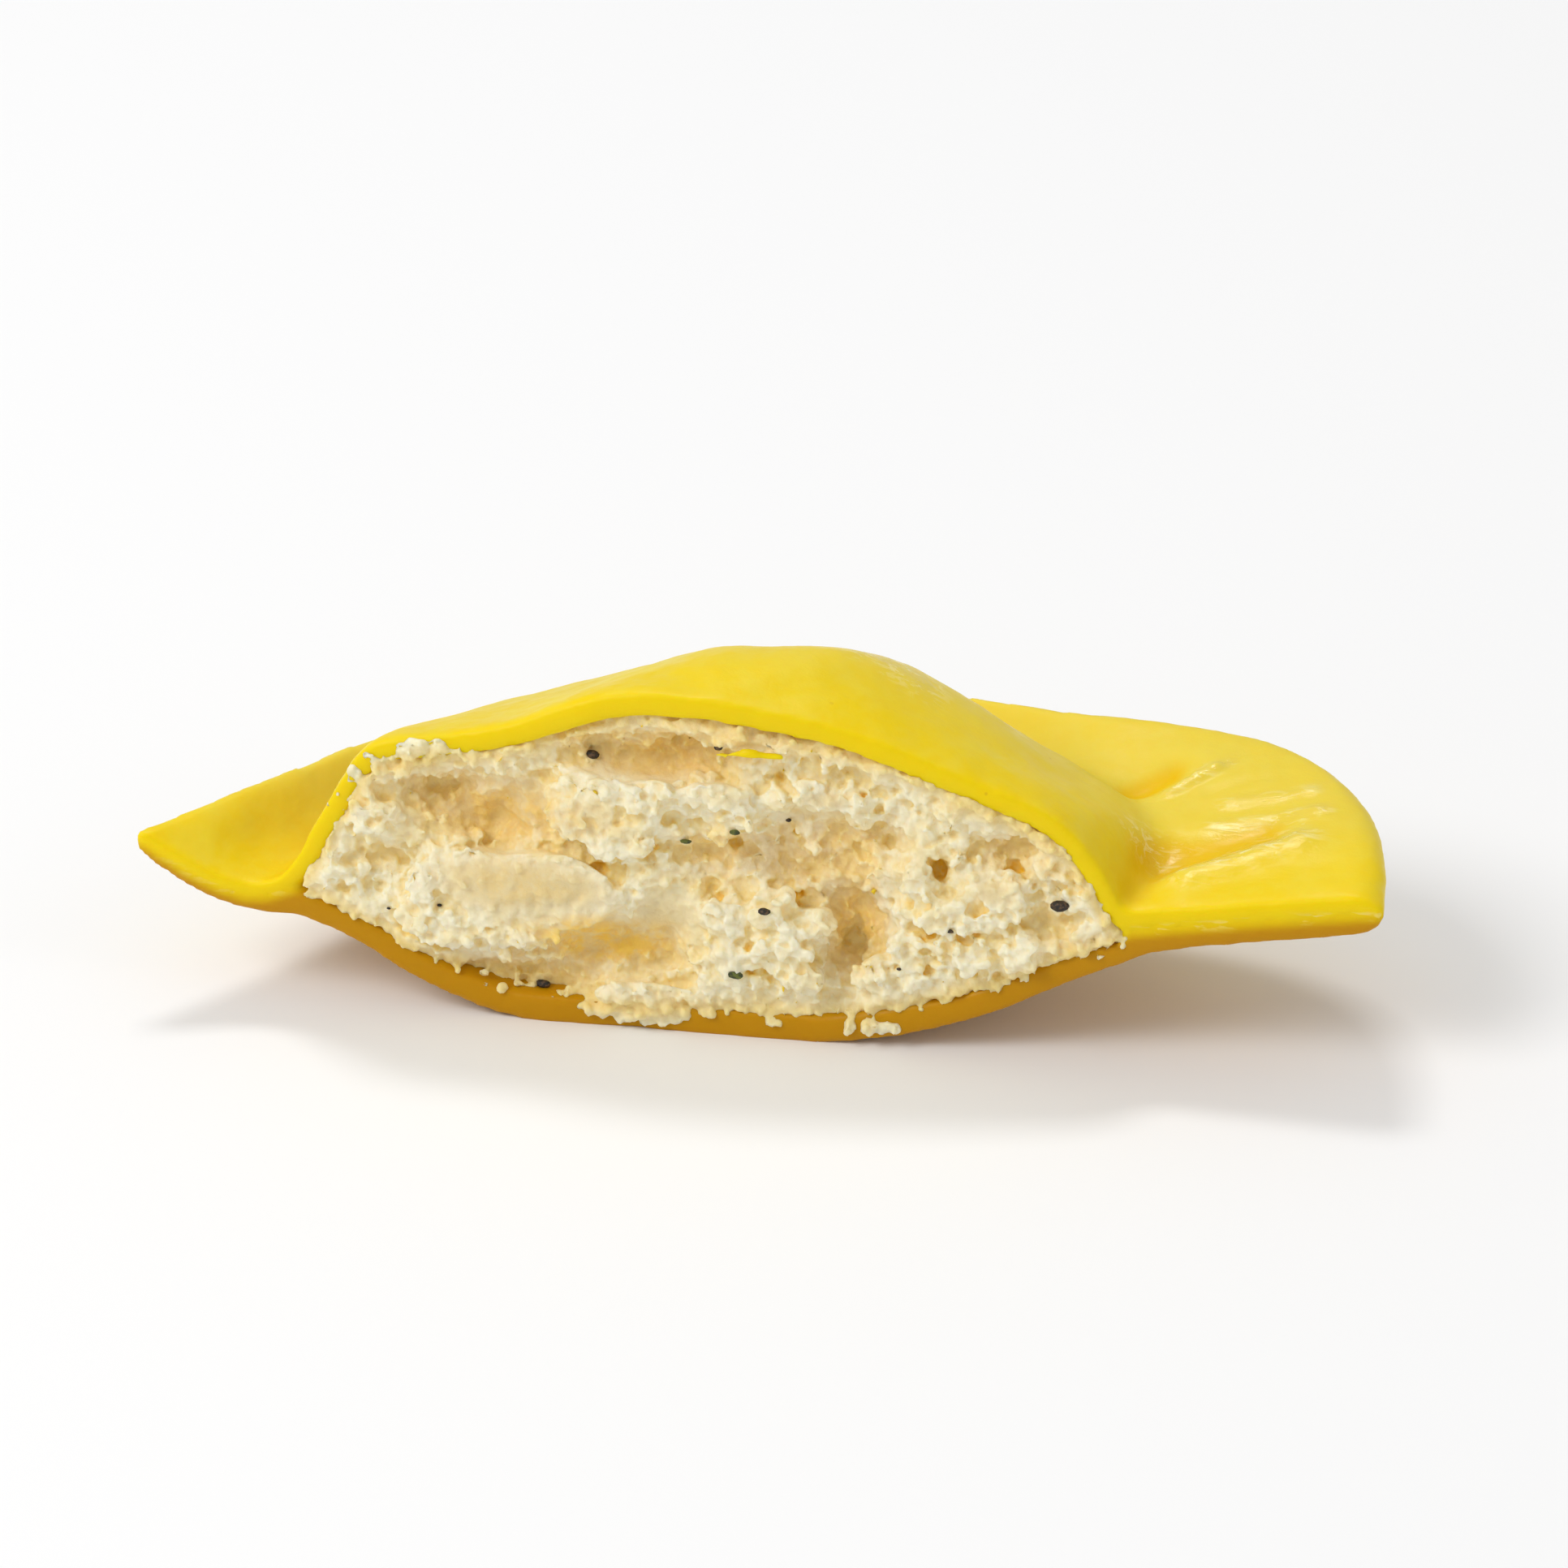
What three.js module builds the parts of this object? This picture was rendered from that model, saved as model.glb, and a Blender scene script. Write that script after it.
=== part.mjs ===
// A stuffed pasta pillow, cut in two, standing on its rounded belly with the cut face along -Y.
// Two thin sheets of dough are pressed together round a pocket of crumbly cheese, and the flat
// margin outside the pocket stands out like wings at both ends of the cut.
// Millimetres, +Z up, +X along the cut.

import * as THREE from "three";

// Driving dimensions

const DOME_TOP = 22.5; // height of the dome at the cut
const BELLY_LEVEL = -0.6; // height of the flat spot that the pillow stands on
const CENTRE_X = -2.5; // where the dome is highest along the cut, from the middle of the wings
const TOP_DOUGH = 1.2; // thickness of the upper sheet over the pocket
const BOTTOM_DOUGH = 1.5; // thickness of the lower sheet under the pocket
const PIECE_GAP = 0.3; // clearance between two neighbouring pieces
const RIM_ROUND = 1.3; // how far in from the rim the pressed margin begins to round off
const RIM_HALF = 0.34; // half thickness left at the very rim
const FOOT_FADE = 0.11; // share of the margin over which the pocket's foot thins to the margin
const FILLING_EDGE = 0.5; // thickness at which the filling ends, out at the seam

// Mesh resolution

const RAYS = 26; // from the right end of the cut round the back to its left end
const POCKET_RINGS = 28;
const MARGIN_STOPS = [0.05, 0.11, 0.18, 0.27, 0.38, 0.5, 0.62, 0.74, 0.86, 0.95, 1];
const FACE_ROWS = 20; // rows of the filling's cut face, from the lower sheet to the upper
const COLUMN_WIDTH = 0.9; // about how far apart two columns of that face are

// The rim of the pressed margin and the foot of the pocket, from the right end of the cut round
// the back to the left end: x, y, height of the seam. The foot also has its half thickness.

const RIM = [
  [38.4, 0, 11.1],
  [37.7, 7.2, 11.6],
  [35.4, 12.6, 12],
  [31.4, 17.2, 12.1],
  [25.6, 19.2, 11.9],
  [18.8, 20.4, 11.6],
  [10, 23.4, 11],
  [0, 25.2, 8.2],
  [-11, 24.4, 6.6],
  [-20.5, 20.6, 8],
  [-27.2, 14.6, 9.4],
  [-31.8, 7.8, 9.9],
  [-38.3, 0, 9.9],
];

const FOOT = [
  [22.5, 0, 8.3, 2.05],
  [23.4, 6.5, 9.1, 2.2],
  [21.4, 12, 9.7, 2.3],
  [13.5, 16.4, 8.7, 2.6],
  [2, 18.8, 6, 2.4],
  [-10, 18.6, 5.5, 2.3],
  [-19.5, 14.8, 6.3, 2.4],
  [-24.8, 8.2, 7.4, 2.6],
  [-27.5, 0, 8.1, 2.9],
];

// Side views of the pocket in several directions: for each share of the way out to the foot, the
// share of the fall from the dome's top, and the share of the rise from the belly. The first number
// of a row is the direction, as a share of the way round from the right end of the cut.

const POCKET_STOPS = [0, 0.15, 0.3, 0.5, 0.7, 0.85, 0.93, 1];
const DOME_FALL = [
  [0, 0, 0.04, 0.11, 0.24, 0.385, 0.545, 0.73, 1],
  [0.14, 0, 0.02, 0.08, 0.28, 0.56, 0.8, 0.9, 1],
  [0.32, 0, -0.02, -0.01, 0.06, 0.3, 0.63, 0.82, 1],
  [0.5, 0, -0.02, 0, 0.11, 0.34, 0.61, 0.81, 1],
  [0.84, 0, 0.01, 0.08, 0.27, 0.44, 0.59, 0.79, 1],
  [1, 0, 0.01, 0.07, 0.25, 0.37, 0.45, 0.71, 1],
];
const BELLY_RISE = [
  [0, 0, 0, 0.03, 0.19, 0.45, 0.75, 0.9, 1],
  [0.5, 0, 0, 0, -0.03, 0.06, 0.42, 0.72, 1],
  [1, 0, 0, 0, 0.03, 0.32, 0.7, 0.88, 1],
];
const MARGIN_HALF = { right: 1.25, back: 1.3, left: 0.85 }; // half thickness of the pressed margin
const MARGIN_SAG = { right: -0.25, back: 0.6, left: 2.2 }; // dip of the margin between foot and rim
const RIGHT_MARGIN = [0.22, 0.46]; // shares of the way round where the right end's margin fades out
const LEFT_MARGIN = [0.66, 0.9]; // shares of the way round where the left end's margin fades in
const SAG_LEAN = 0.8; // below 1 the margin is lowest nearer to the foot than to the rim

// Folds and dents pressed into the upper sheet, each along a line from one point to another

const WING_FOLDS = [
  { from: [21.2, 12.6], to: [23, 14.2], width: 1.7, height: -0.9 },
  { from: [23.6, 13.6], to: [27.6, 17.2], width: 1.1, height: 0.55 },
  { from: [24.6, 6.4], to: [31, 9], width: 1.5, height: -0.7 },
  { from: [25.4, 3.6], to: [33, 7.4], width: 1.5, height: 0.5 },
  { from: [29, 12], to: [34, 11], width: 1.6, height: 0.25 },
  { from: [-29.5, 5], to: [-31.5, 1], width: 1.6, height: -0.3 },
];
const CRIMPS = 5; // finger dents along the foot of the pocket, round the back
const CRIMP_SPAN = [0.37, 0.83];
const CRIMP_WIDTH = 3.2;
const CRIMP_DEPTH = 1;
const CRIMP_OFFSET = 1.6; // how far outside the foot a dent is deepest
const DOME_LUMP = 0.3; // unevenness of the dome over the crumbly filling
const DOME_LUMP_SIZE = 7.5;
const LUMP_FADE = [0.6, 1]; // stops between which the lumps fade out, on the way to the foot
const RELIEF_FADE = [1.8, 1.95]; // stops between which all relief fades out, near the rim

// Relief of the filling's broken face: lumps stand out towards the viewer of the cut, hollows
// lie deeper. x, z, half width, half height, depth into the filling

const FACE_FORMS = [
  [-13.8, 7.7, 5.8, 3.1, -1.4],
  [-5.4, 6.2, 2.8, 2.5, 1.1],
  [-3.5, 17.9, 6.4, 1.4, 2.4],
  [-8.4, 13.9, 3.6, 2.3, -1.2],
  [-2.8, 15.6, 2.4, 1.2, -0.7],
  [-13.6, 12.6, 2.6, 1.2, 1.6],
  [-19.2, 14.8, 3.4, 1.4, 1.5],
  [-23.2, 9.9, 1.8, 1.3, 1.3],
  [1, 12.4, 3, 1.7, 1.8],
  [0.9, 6.2, 3.8, 2.8, -1.1],
  [4.8, 16, 3.6, 1.2, -0.7],
  [6.2, 7.4, 1.6, 2.6, 2],
  [6.4, 12.4, 2.2, 2.6, 0.8],
  [12.4, 9.2, 3.4, 2.6, -1.1],
  [12, 10.4, 0.9, 0.9, 1.8],
  [16.6, 12.8, 3, 1.6, 1.2],
  [19.6, 8.6, 2, 1, 1.1],
  [11.4, 4.2, 4.6, 1, -0.6],
  [-15.4, 3, 4, 0.9, 1],
  [-6.4, 1.9, 3.8, 0.8, -1],
];
const CRUMB_SCALES = [
  { size: 3.1, depth: 1 },
  { size: 1.5, depth: 0.75 },
];
const CRUMB_SHIFT = 11.4; // picks which patch of the noise the crumbs come from
const FACE_SETBACK = 0.7; // how far the broken face lies behind the cut sheets on average
const FACE_BLEND = 1.6; // distance from the sheets over which the relief grows to full depth
const FACE_REACH = [-1.1, 4.2]; // furthest out and furthest in that the face goes

// Curves and small helpers

function spacedPoints(list, column, count) {
  const points = list.map((entry) => new THREE.Vector3(entry[0], entry[1], entry[column]));
  return new THREE.CatmullRomCurve3(points, false, "centripetal").getSpacedPoints(count);
}

// A smooth curve through values given at stops

function curveAt(stops, values, place) {
  const last = stops.length - 1;
  let index = 0;
  while (index < last - 1 && place > stops[index + 1]) index += 1;
  const before = Math.max(index - 1, 0);
  const after = Math.min(index + 2, last);
  const span = stops[index + 1] - stops[index];
  const along = (place - stops[index]) / span;
  const startSlope = (values[index + 1] - values[before]) / (stops[index + 1] - stops[before]);
  const endSlope = (values[after] - values[index]) / (stops[after] - stops[index]);
  const square = along * along;
  const cube = square * along;
  return (
    (2 * cube - 3 * square + 1) * values[index] +
    (cube - 2 * square + along) * startSlope * span +
    (3 * square - 2 * cube) * values[index + 1] +
    (cube - square) * endSlope * span
  );
}

// The same between side views: each view's curve, blended by the direction

function viewAt(views, share, stop) {
  let index = 0;
  while (index < views.length - 2 && share > views[index + 1][0]) index += 1;
  const [start, ...startValues] = views[index];
  const [end, ...endValues] = views[index + 1];
  const blend = THREE.MathUtils.smoothstep(share, start, end);
  const from = curveAt(POCKET_STOPS, startValues, stop);
  const to = curveAt(POCKET_STOPS, endValues, stop);
  return THREE.MathUtils.lerp(from, to, blend);
}

function latticeValue(column, row) {
  let mixed = Math.imul(column, 374761393) + Math.imul(row, 668265263);
  mixed = Math.imul(mixed ^ (mixed >>> 13), 1274126177);
  return ((mixed ^ (mixed >>> 16)) >>> 0) / 2147483648 - 1;
}

function smoothNoise(x, y) {
  const column = Math.floor(x);
  const row = Math.floor(y);
  const alongX = THREE.MathUtils.smoothstep(x - column, 0, 1);
  const alongY = THREE.MathUtils.smoothstep(y - row, 0, 1);
  const near = THREE.MathUtils.lerp(latticeValue(column, row), latticeValue(column + 1, row), alongX);
  const far = THREE.MathUtils.lerp(latticeValue(column, row + 1), latticeValue(column + 1, row + 1), alongX);
  return THREE.MathUtils.lerp(near, far, alongY);
}

function distanceToLine(x, y, from, to) {
  const runX = to[0] - from[0];
  const runY = to[1] - from[1];
  const reach = ((x - from[0]) * runX + (y - from[1]) * runY) / (runX * runX + runY * runY);
  const along = THREE.MathUtils.clamp(reach, 0, 1);
  return Math.hypot(x - from[0] - runX * along, y - from[1] - runY * along);
}

function bell(distance, width) {
  return Math.exp(-((distance / width) ** 2));
}

// The form of the whole pillow: rays run from the dome's top out to the rim, and each point on a
// ray has a stop from 0 at the top through 1 at the pocket's foot to 2 at the rim.

const rimPoints = spacedPoints(RIM, 2, RAYS);
const footPoints = spacedPoints(FOOT, 2, RAYS);
const footHalves = spacedPoints(FOOT, 3, RAYS).map((point) => point.z);
const crimpPlaces = [];
for (let crimp = 0; crimp < CRIMPS; crimp += 1) {
  const share = THREE.MathUtils.lerp(CRIMP_SPAN[0], CRIMP_SPAN[1], crimp / (CRIMPS - 1));
  const place = spacedPoints(FOOT, 2, 100)[Math.round(share * 100)];
  const outward = new THREE.Vector3(place.x - CENTRE_X, place.y, 0).normalize();
  crimpPlaces.push(place.clone().addScaledVector(outward, CRIMP_OFFSET));
}

function mixEnds(values, share) {
  const right = 1 - THREE.MathUtils.smoothstep(share, RIGHT_MARGIN[0], RIGHT_MARGIN[1]);
  const left = THREE.MathUtils.smoothstep(share, LEFT_MARGIN[0], LEFT_MARGIN[1]);
  return values.right * right + values.left * left + values.back * (1 - right - left);
}

function planPoint(ray, stop) {
  const foot = footPoints[ray];
  const rim = rimPoints[ray];
  if (stop <= 1) {
    return [CENTRE_X + (foot.x - CENTRE_X) * stop, foot.y * stop];
  }
  return [foot.x + (rim.x - foot.x) * (stop - 1), foot.y + (rim.y - foot.y) * (stop - 1)];
}

function crimpRelief(x, y) {
  let relief = 0;
  for (const place of crimpPlaces) {
    relief -= CRIMP_DEPTH * bell(Math.hypot(x - place.x, y - place.y), CRIMP_WIDTH);
  }
  return relief;
}

function upperRelief(x, y, stop) {
  let relief = crimpRelief(x, y);
  for (const fold of WING_FOLDS) {
    relief += fold.height * bell(distanceToLine(x, y, fold.from, fold.to), fold.width);
  }
  const onDome = 1 - THREE.MathUtils.smoothstep(stop, ...LUMP_FADE);
  relief += onDome * DOME_LUMP * smoothNoise(x / DOME_LUMP_SIZE, y / DOME_LUMP_SIZE);
  const atRim = THREE.MathUtils.smoothstep(stop, ...RELIEF_FADE);
  return relief * (1 - atRim);
}

function marginHalf(ray, stop) {
  const full = mixEnds(MARGIN_HALF, ray / RAYS);
  const out = stop - 1;
  const half = full + (footHalves[ray] - full) * Math.exp(-out / FOOT_FADE);
  const toRim = (1 - out) * rimPoints[ray].distanceTo(footPoints[ray]);
  const inside = 1 - Math.min(toRim / RIM_ROUND, 1);
  return RIM_HALF + (half - RIM_HALF) * Math.sqrt(1 - inside * inside);
}

function formAt(ray, stop) {
  const [x, y] = planPoint(ray, stop);
  const foot = footPoints[ray];
  let top;
  let bottom;
  if (stop <= 1) {
    const fall = DOME_TOP - foot.z - footHalves[ray];
    const rise = foot.z - footHalves[ray] - BELLY_LEVEL;
    top = DOME_TOP - fall * viewAt(DOME_FALL, ray / RAYS, stop);
    bottom = BELLY_LEVEL + rise * Math.max(viewAt(BELLY_RISE, ray / RAYS, stop), 0);
  } else {
    const out = stop - 1;
    const sag = mixEnds(MARGIN_SAG, ray / RAYS) * Math.sin(Math.PI * out ** SAG_LEAN);
    const seam = THREE.MathUtils.lerp(foot.z, rimPoints[ray].z, out) - sag;
    const half = marginHalf(ray, stop);
    top = seam + half;
    bottom = seam - half;
  }
  return { x, y, top: top + upperRelief(x, y, stop), bottom };
}

// Thickness of a sheet measured straight down, which grows where the sheet is steep

const STEEPEST = 2.3;
const SLOPE_STEP = 0.02;

function steepness(ray, stop, side) {
  const inner = formAt(ray, Math.max(stop - SLOPE_STEP, 0));
  const outer = formAt(ray, Math.min(stop + SLOPE_STEP, 2));
  const run = Math.hypot(outer.x - inner.x, outer.y - inner.y);
  const slope = (outer[side] - inner[side]) / run;
  return Math.min(Math.hypot(1, slope), STEEPEST);
}

function layersAt(ray, stop) {
  const form = formAt(ray, stop);
  const thickness = form.top - form.bottom;
  const seam = form.bottom + (thickness * BOTTOM_DOUGH) / (TOP_DOUGH + BOTTOM_DOUGH);
  const topDrop = TOP_DOUGH * steepness(ray, stop, "top");
  const bottomRise = BOTTOM_DOUGH * steepness(ray, stop, "bottom");
  const topInner = Math.max(form.top - topDrop, seam + PIECE_GAP / 2);
  const bottomInner = Math.min(form.bottom + bottomRise, seam - PIECE_GAP / 2);
  return { ...form, topInner, bottomInner };
}

// Meshes

function closedMesh(name, positions, faces, material) {
  const geometry = new THREE.BufferGeometry();
  geometry.setAttribute("position", new THREE.Float32BufferAttribute(positions.flat(), 3));
  geometry.setIndex(faces.flat());
  geometry.computeVertexNormals();
  const mesh = new THREE.Mesh(geometry, material);
  mesh.name = name;
  return mesh;
}

function quad(a, b, c, d) {
  return [a, b, c, a, c, d];
}

// One shell over the fan of rays: the corner of each ray and ring, the shared centre first

function fanIndex(ray, ring, rings) {
  return ring === 0 ? 0 : 1 + ray * rings + (ring - 1);
}

function fanFaces(rings, offset, facingUp) {
  const faces = [];
  for (let ray = 0; ray < RAYS; ray += 1) {
    for (let ring = 0; ring < rings; ring += 1) {
      const inner = offset + fanIndex(ray, ring, rings);
      const outer = offset + fanIndex(ray, ring + 1, rings);
      const nextOuter = offset + fanIndex(ray + 1, ring + 1, rings);
      const nextInner = offset + fanIndex(ray + 1, ring, rings);
      const [second, third, fourth] = facingUp ? [outer, nextOuter, nextInner] : [nextInner, nextOuter, outer];
      if (ring > 0) {
        faces.push(quad(inner, second, third, fourth));
      } else {
        faces.push(facingUp ? [inner, outer, nextOuter] : [inner, nextOuter, outer]);
      }
    }
  }
  return faces;
}

function fanPositions(rings, pointAt) {
  const positions = [pointAt(0, 0)];
  for (let ray = 0; ray <= RAYS; ray += 1) {
    for (let ring = 1; ring <= rings; ring += 1) {
      positions.push(pointAt(ray, ring));
    }
  }
  return positions;
}

const sheetStops = [];
for (let ring = 0; ring <= POCKET_RINGS; ring += 1) {
  sheetStops.push(ring / POCKET_RINGS);
}
for (const stop of MARGIN_STOPS) {
  sheetStops.push(1 + stop);
}

function makeSheet(name, upper, lower, material) {
  const rings = sheetStops.length - 1;
  const surface = (side) => (ray, ring) => {
    const layers = layersAt(ray, sheetStops[ring]);
    return [layers.x, layers.y, layers[side]];
  };
  const upperPositions = fanPositions(rings, surface(upper));
  const lowerPositions = fanPositions(rings, surface(lower));
  const offset = upperPositions.length;
  const faces = [...fanFaces(rings, 0, true), ...fanFaces(rings, offset, false)];
  for (let ring = 0; ring < rings; ring += 1) {
    const right = fanIndex(0, ring, rings);
    const rightNext = fanIndex(0, ring + 1, rings);
    const left = fanIndex(RAYS, ring, rings);
    const leftNext = fanIndex(RAYS, ring + 1, rings);
    faces.push(quad(right, right + offset, rightNext + offset, rightNext));
    faces.push(quad(left, leftNext, leftNext + offset, left + offset));
  }
  for (let ray = 0; ray < RAYS; ray += 1) {
    const here = fanIndex(ray, rings, rings);
    const next = fanIndex(ray + 1, rings, rings);
    faces.push(quad(here, here + offset, next + offset, next));
  }
  return closedMesh(name, [...upperPositions, ...lowerPositions], faces, material);
}

// Filling: it ends where the two sheets close on each other, and its broken face fills the cut

const EDGE_STEP = 0.005;

function fillingEdge(ray) {
  let stop = 1;
  let layers = layersAt(ray, stop);
  while (layers.topInner - layers.bottomInner < FILLING_EDGE + 2 * PIECE_GAP) {
    stop -= EDGE_STEP;
    layers = layersAt(ray, stop);
  }
  return stop;
}

function fillingSides(ray, ring) {
  const stop = (ring / POCKET_RINGS) * fillingEdges[ray];
  const layers = layersAt(ray, stop);
  return { ...layers, top: layers.topInner - PIECE_GAP, bottom: layers.bottomInner + PIECE_GAP };
}

function faceDepth(x, z, toSheet) {
  let depth = FACE_SETBACK;
  for (const [middleX, middleZ, halfWidth, halfHeight, form] of FACE_FORMS) {
    const away = Math.hypot((x - middleX) / halfWidth, (z - middleZ) / halfHeight);
    depth += form * bell(away, 1);
  }
  for (const { size, depth: crumb } of CRUMB_SCALES) {
    depth += crumb * smoothNoise(x / size + CRUMB_SHIFT, z / size);
  }
  const grown = THREE.MathUtils.smoothstep(toSheet, 0, FACE_BLEND);
  return THREE.MathUtils.clamp(depth * grown, FACE_REACH[0], FACE_REACH[1]);
}

const fillingEdges = [];
for (let ray = 0; ray <= RAYS; ray += 1) {
  fillingEdges.push(fillingEdge(ray));
}

function makeFilling(name, material) {
  const rings = POCKET_RINGS;
  const surface = (side) => (ray, ring) => {
    const sides = fillingSides(ray, ring);
    return [sides.x, sides.y, sides[side]];
  };
  const positions = [...fanPositions(rings, surface("top")), ...fanPositions(rings, surface("bottom"))];
  const offset = positions.length / 2;
  const faces = [...fanFaces(rings, 0, true), ...fanFaces(rings, offset, false)];
  for (let ray = 0; ray < RAYS; ray += 1) {
    const here = fanIndex(ray, rings, rings);
    const next = fanIndex(ray + 1, rings, rings);
    faces.push(quad(here, here + offset, next + offset, next));
  }
  const columns = [];
  for (let place = -rings; place <= rings; place += 1) {
    const ray = place < 0 ? RAYS : 0;
    const topIndex = fanIndex(ray, Math.abs(place), rings);
    const [x, , top] = positions[topIndex];
    const bottom = positions[topIndex + offset][2];
    const column = [topIndex + offset];
    const isEnd = Math.abs(place) === rings;
    for (let row = 1; row < FACE_ROWS && !isEnd; row += 1) {
      const z = THREE.MathUtils.lerp(bottom, top, row / FACE_ROWS);
      const toEnd = (rings - Math.abs(place)) * COLUMN_WIDTH;
      column.push(positions.length);
      positions.push([x, faceDepth(x, z, Math.min(top - z, z - bottom, toEnd)), z]);
    }
    column.push(topIndex);
    columns.push(column);
  }
  for (let place = 0; place < columns.length - 1; place += 1) {
    const here = columns[place];
    const next = columns[place + 1];
    const rows = Math.max(here.length, next.length) - 1;
    for (let row = 0; row < rows; row += 1) {
      const upperHalf = row >= rows / 2;
      const pick = (column, step) => column[column.length > 2 ? step : Number(upperHalf)];
      if (here.length === next.length) {
        faces.push(quad(here[row], next[row], next[row + 1], here[row + 1]));
      } else if (here.length < next.length) {
        faces.push([pick(here, row), next[row], next[row + 1]]);
      } else {
        faces.push([here[row], pick(next, row), here[row + 1]]);
      }
    }
    if (here.length < next.length) faces.push([here[0], next[rows / 2], here[1]]);
    if (here.length > next.length) faces.push([here[rows / 2], next[0], next[1]]);
  }
  return closedMesh(name, positions, faces, material);
}

// Finishes

const dough = { color: 0xe8c419, roughness: 0.38, metalness: 0 };
const topDough = new THREE.MeshStandardMaterial({ name: "top dough", ...dough });
const bottomDough = new THREE.MeshStandardMaterial({ name: "bottom dough", ...dough, color: 0xdcae12 });
const cheese = new THREE.MeshStandardMaterial({
  name: "cheese filling",
  color: 0xe9dcb4,
  roughness: 0.6,
  metalness: 0,
});

// Assembly, standing on its belly with the middle of its outline over the origin

const pillow = new THREE.Group();
pillow.add(makeSheet("bottom_sheet", "bottomInner", "bottom", bottomDough));
pillow.add(makeFilling("filling", cheese));
pillow.add(makeSheet("top_sheet", "top", "topInner", topDough));
const extent = new THREE.Box3().setFromObject(pillow);
const middle = extent.getCenter(new THREE.Vector3());
pillow.position.set(-middle.x, -middle.y, -extent.min.z);

const part = new THREE.Group();
part.add(pillow);
export default part;
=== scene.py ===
import math

import bpy
import numpy as np
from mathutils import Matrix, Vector
from mathutils.bvhtree import BVHTree


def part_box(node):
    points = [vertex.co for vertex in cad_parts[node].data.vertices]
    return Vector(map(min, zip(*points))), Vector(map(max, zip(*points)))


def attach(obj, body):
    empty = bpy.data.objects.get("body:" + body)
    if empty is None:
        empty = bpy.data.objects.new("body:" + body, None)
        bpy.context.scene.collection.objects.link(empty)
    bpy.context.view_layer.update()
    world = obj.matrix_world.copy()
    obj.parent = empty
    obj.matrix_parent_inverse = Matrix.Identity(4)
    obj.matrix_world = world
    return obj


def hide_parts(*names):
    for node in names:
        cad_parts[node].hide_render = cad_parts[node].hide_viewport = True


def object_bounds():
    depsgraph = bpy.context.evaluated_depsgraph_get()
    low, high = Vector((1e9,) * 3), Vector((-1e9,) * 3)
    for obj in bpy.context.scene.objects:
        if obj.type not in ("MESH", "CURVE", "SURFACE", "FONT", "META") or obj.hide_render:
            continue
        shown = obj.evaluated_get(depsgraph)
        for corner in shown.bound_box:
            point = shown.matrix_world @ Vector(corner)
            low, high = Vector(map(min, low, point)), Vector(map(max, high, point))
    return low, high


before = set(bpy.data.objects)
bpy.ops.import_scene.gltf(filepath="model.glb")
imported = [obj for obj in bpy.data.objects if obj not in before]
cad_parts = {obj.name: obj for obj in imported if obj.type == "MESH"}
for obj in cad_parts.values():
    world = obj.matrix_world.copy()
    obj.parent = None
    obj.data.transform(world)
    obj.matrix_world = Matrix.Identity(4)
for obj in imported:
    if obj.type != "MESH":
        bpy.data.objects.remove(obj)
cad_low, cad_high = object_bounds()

scene = bpy.context.scene
MM = 0.001

# Camera
# A long lens stands in front of the cut face, a little to its right and well above the table, so
# that the broken cheese, the domed upper sheet and both wings show at once.

CAMERA_AZIMUTH = math.radians(9)
CAMERA_ELEVATION = math.radians(28)
CAMERA_DISTANCE = 550 * MM
CAMERA_LENS = 204.0
CAMERA_NEAR = 10 * MM
AIM_RAISE = -0.5 * MM

middle = (cad_low + cad_high) / 2
aim = middle + Vector((0, 0, AIM_RAISE))
backward = Vector((
    math.sin(CAMERA_AZIMUTH) * math.cos(CAMERA_ELEVATION),
    -math.cos(CAMERA_AZIMUTH) * math.cos(CAMERA_ELEVATION),
    math.sin(CAMERA_ELEVATION),
))
bpy.ops.object.select_all(action="DESELECT")
bpy.ops.object.camera_add(location=aim + backward * CAMERA_DISTANCE)
camera = bpy.context.object
camera.rotation_mode = "QUATERNION"
camera.rotation_quaternion = (-backward).to_track_quat("-Z", "Y")
camera.data.lens = CAMERA_LENS
camera.data.clip_start = CAMERA_NEAR
scene.camera = camera

# Dough
# Two sheets of thin egg dough, rolled, filled, pressed together by finger round the filling and
# boiled. Over the pocket they part round the filling; in the margin they have grown into one.

SHEET_SWELL = 0.19 * MM
SHARP_FROM = math.radians(50)
EDGE_CREASE = 0.9
DOUGH_VOXEL = 0.32 * MM
MERGE_WITHIN = 0.002 * MM
QUAD_LIMIT = math.radians(70)
SUBDIVISIONS = 2
SMOOTH_FACTOR = 0.5
DOUGH_SMOOTHINGS = 5

sheet_low, sheet_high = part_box("top_sheet")
cut_y = sheet_low.y
cut_middle_x = (sheet_low.x + sheet_high.x) / 2


def pick(*objects):
    bpy.ops.object.select_all(action="DESELECT")
    for thing in objects:
        thing.select_set(True)
    bpy.context.view_layer.objects.active = objects[0]


def copy_of(node, name):
    piece = bpy.data.objects.new(name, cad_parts[node].data.copy())
    scene.collection.objects.link(piece)
    piece.data.materials.clear()
    pick(piece)
    bpy.ops.object.mode_set(mode="EDIT")
    bpy.ops.mesh.select_all(action="SELECT")
    bpy.ops.mesh.remove_doubles(threshold=MERGE_WITHIN)
    bpy.ops.mesh.tris_convert_to_quads(face_threshold=QUAD_LIMIT, shape_threshold=QUAD_LIMIT)
    bpy.ops.mesh.select_mode(type="EDGE")
    bpy.ops.mesh.select_all(action="DESELECT")
    bpy.ops.mesh.edges_select_sharp(sharpness=SHARP_FROM)
    bpy.ops.object.mode_set(mode="OBJECT")
    sharp = np.array([edge.select for edge in piece.data.edges], dtype=np.float32)
    creases = piece.data.attributes.new("crease_edge", "FLOAT", "EDGE")
    creases.data.foreach_set("value", sharp * EDGE_CREASE)
    return piece


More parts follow.
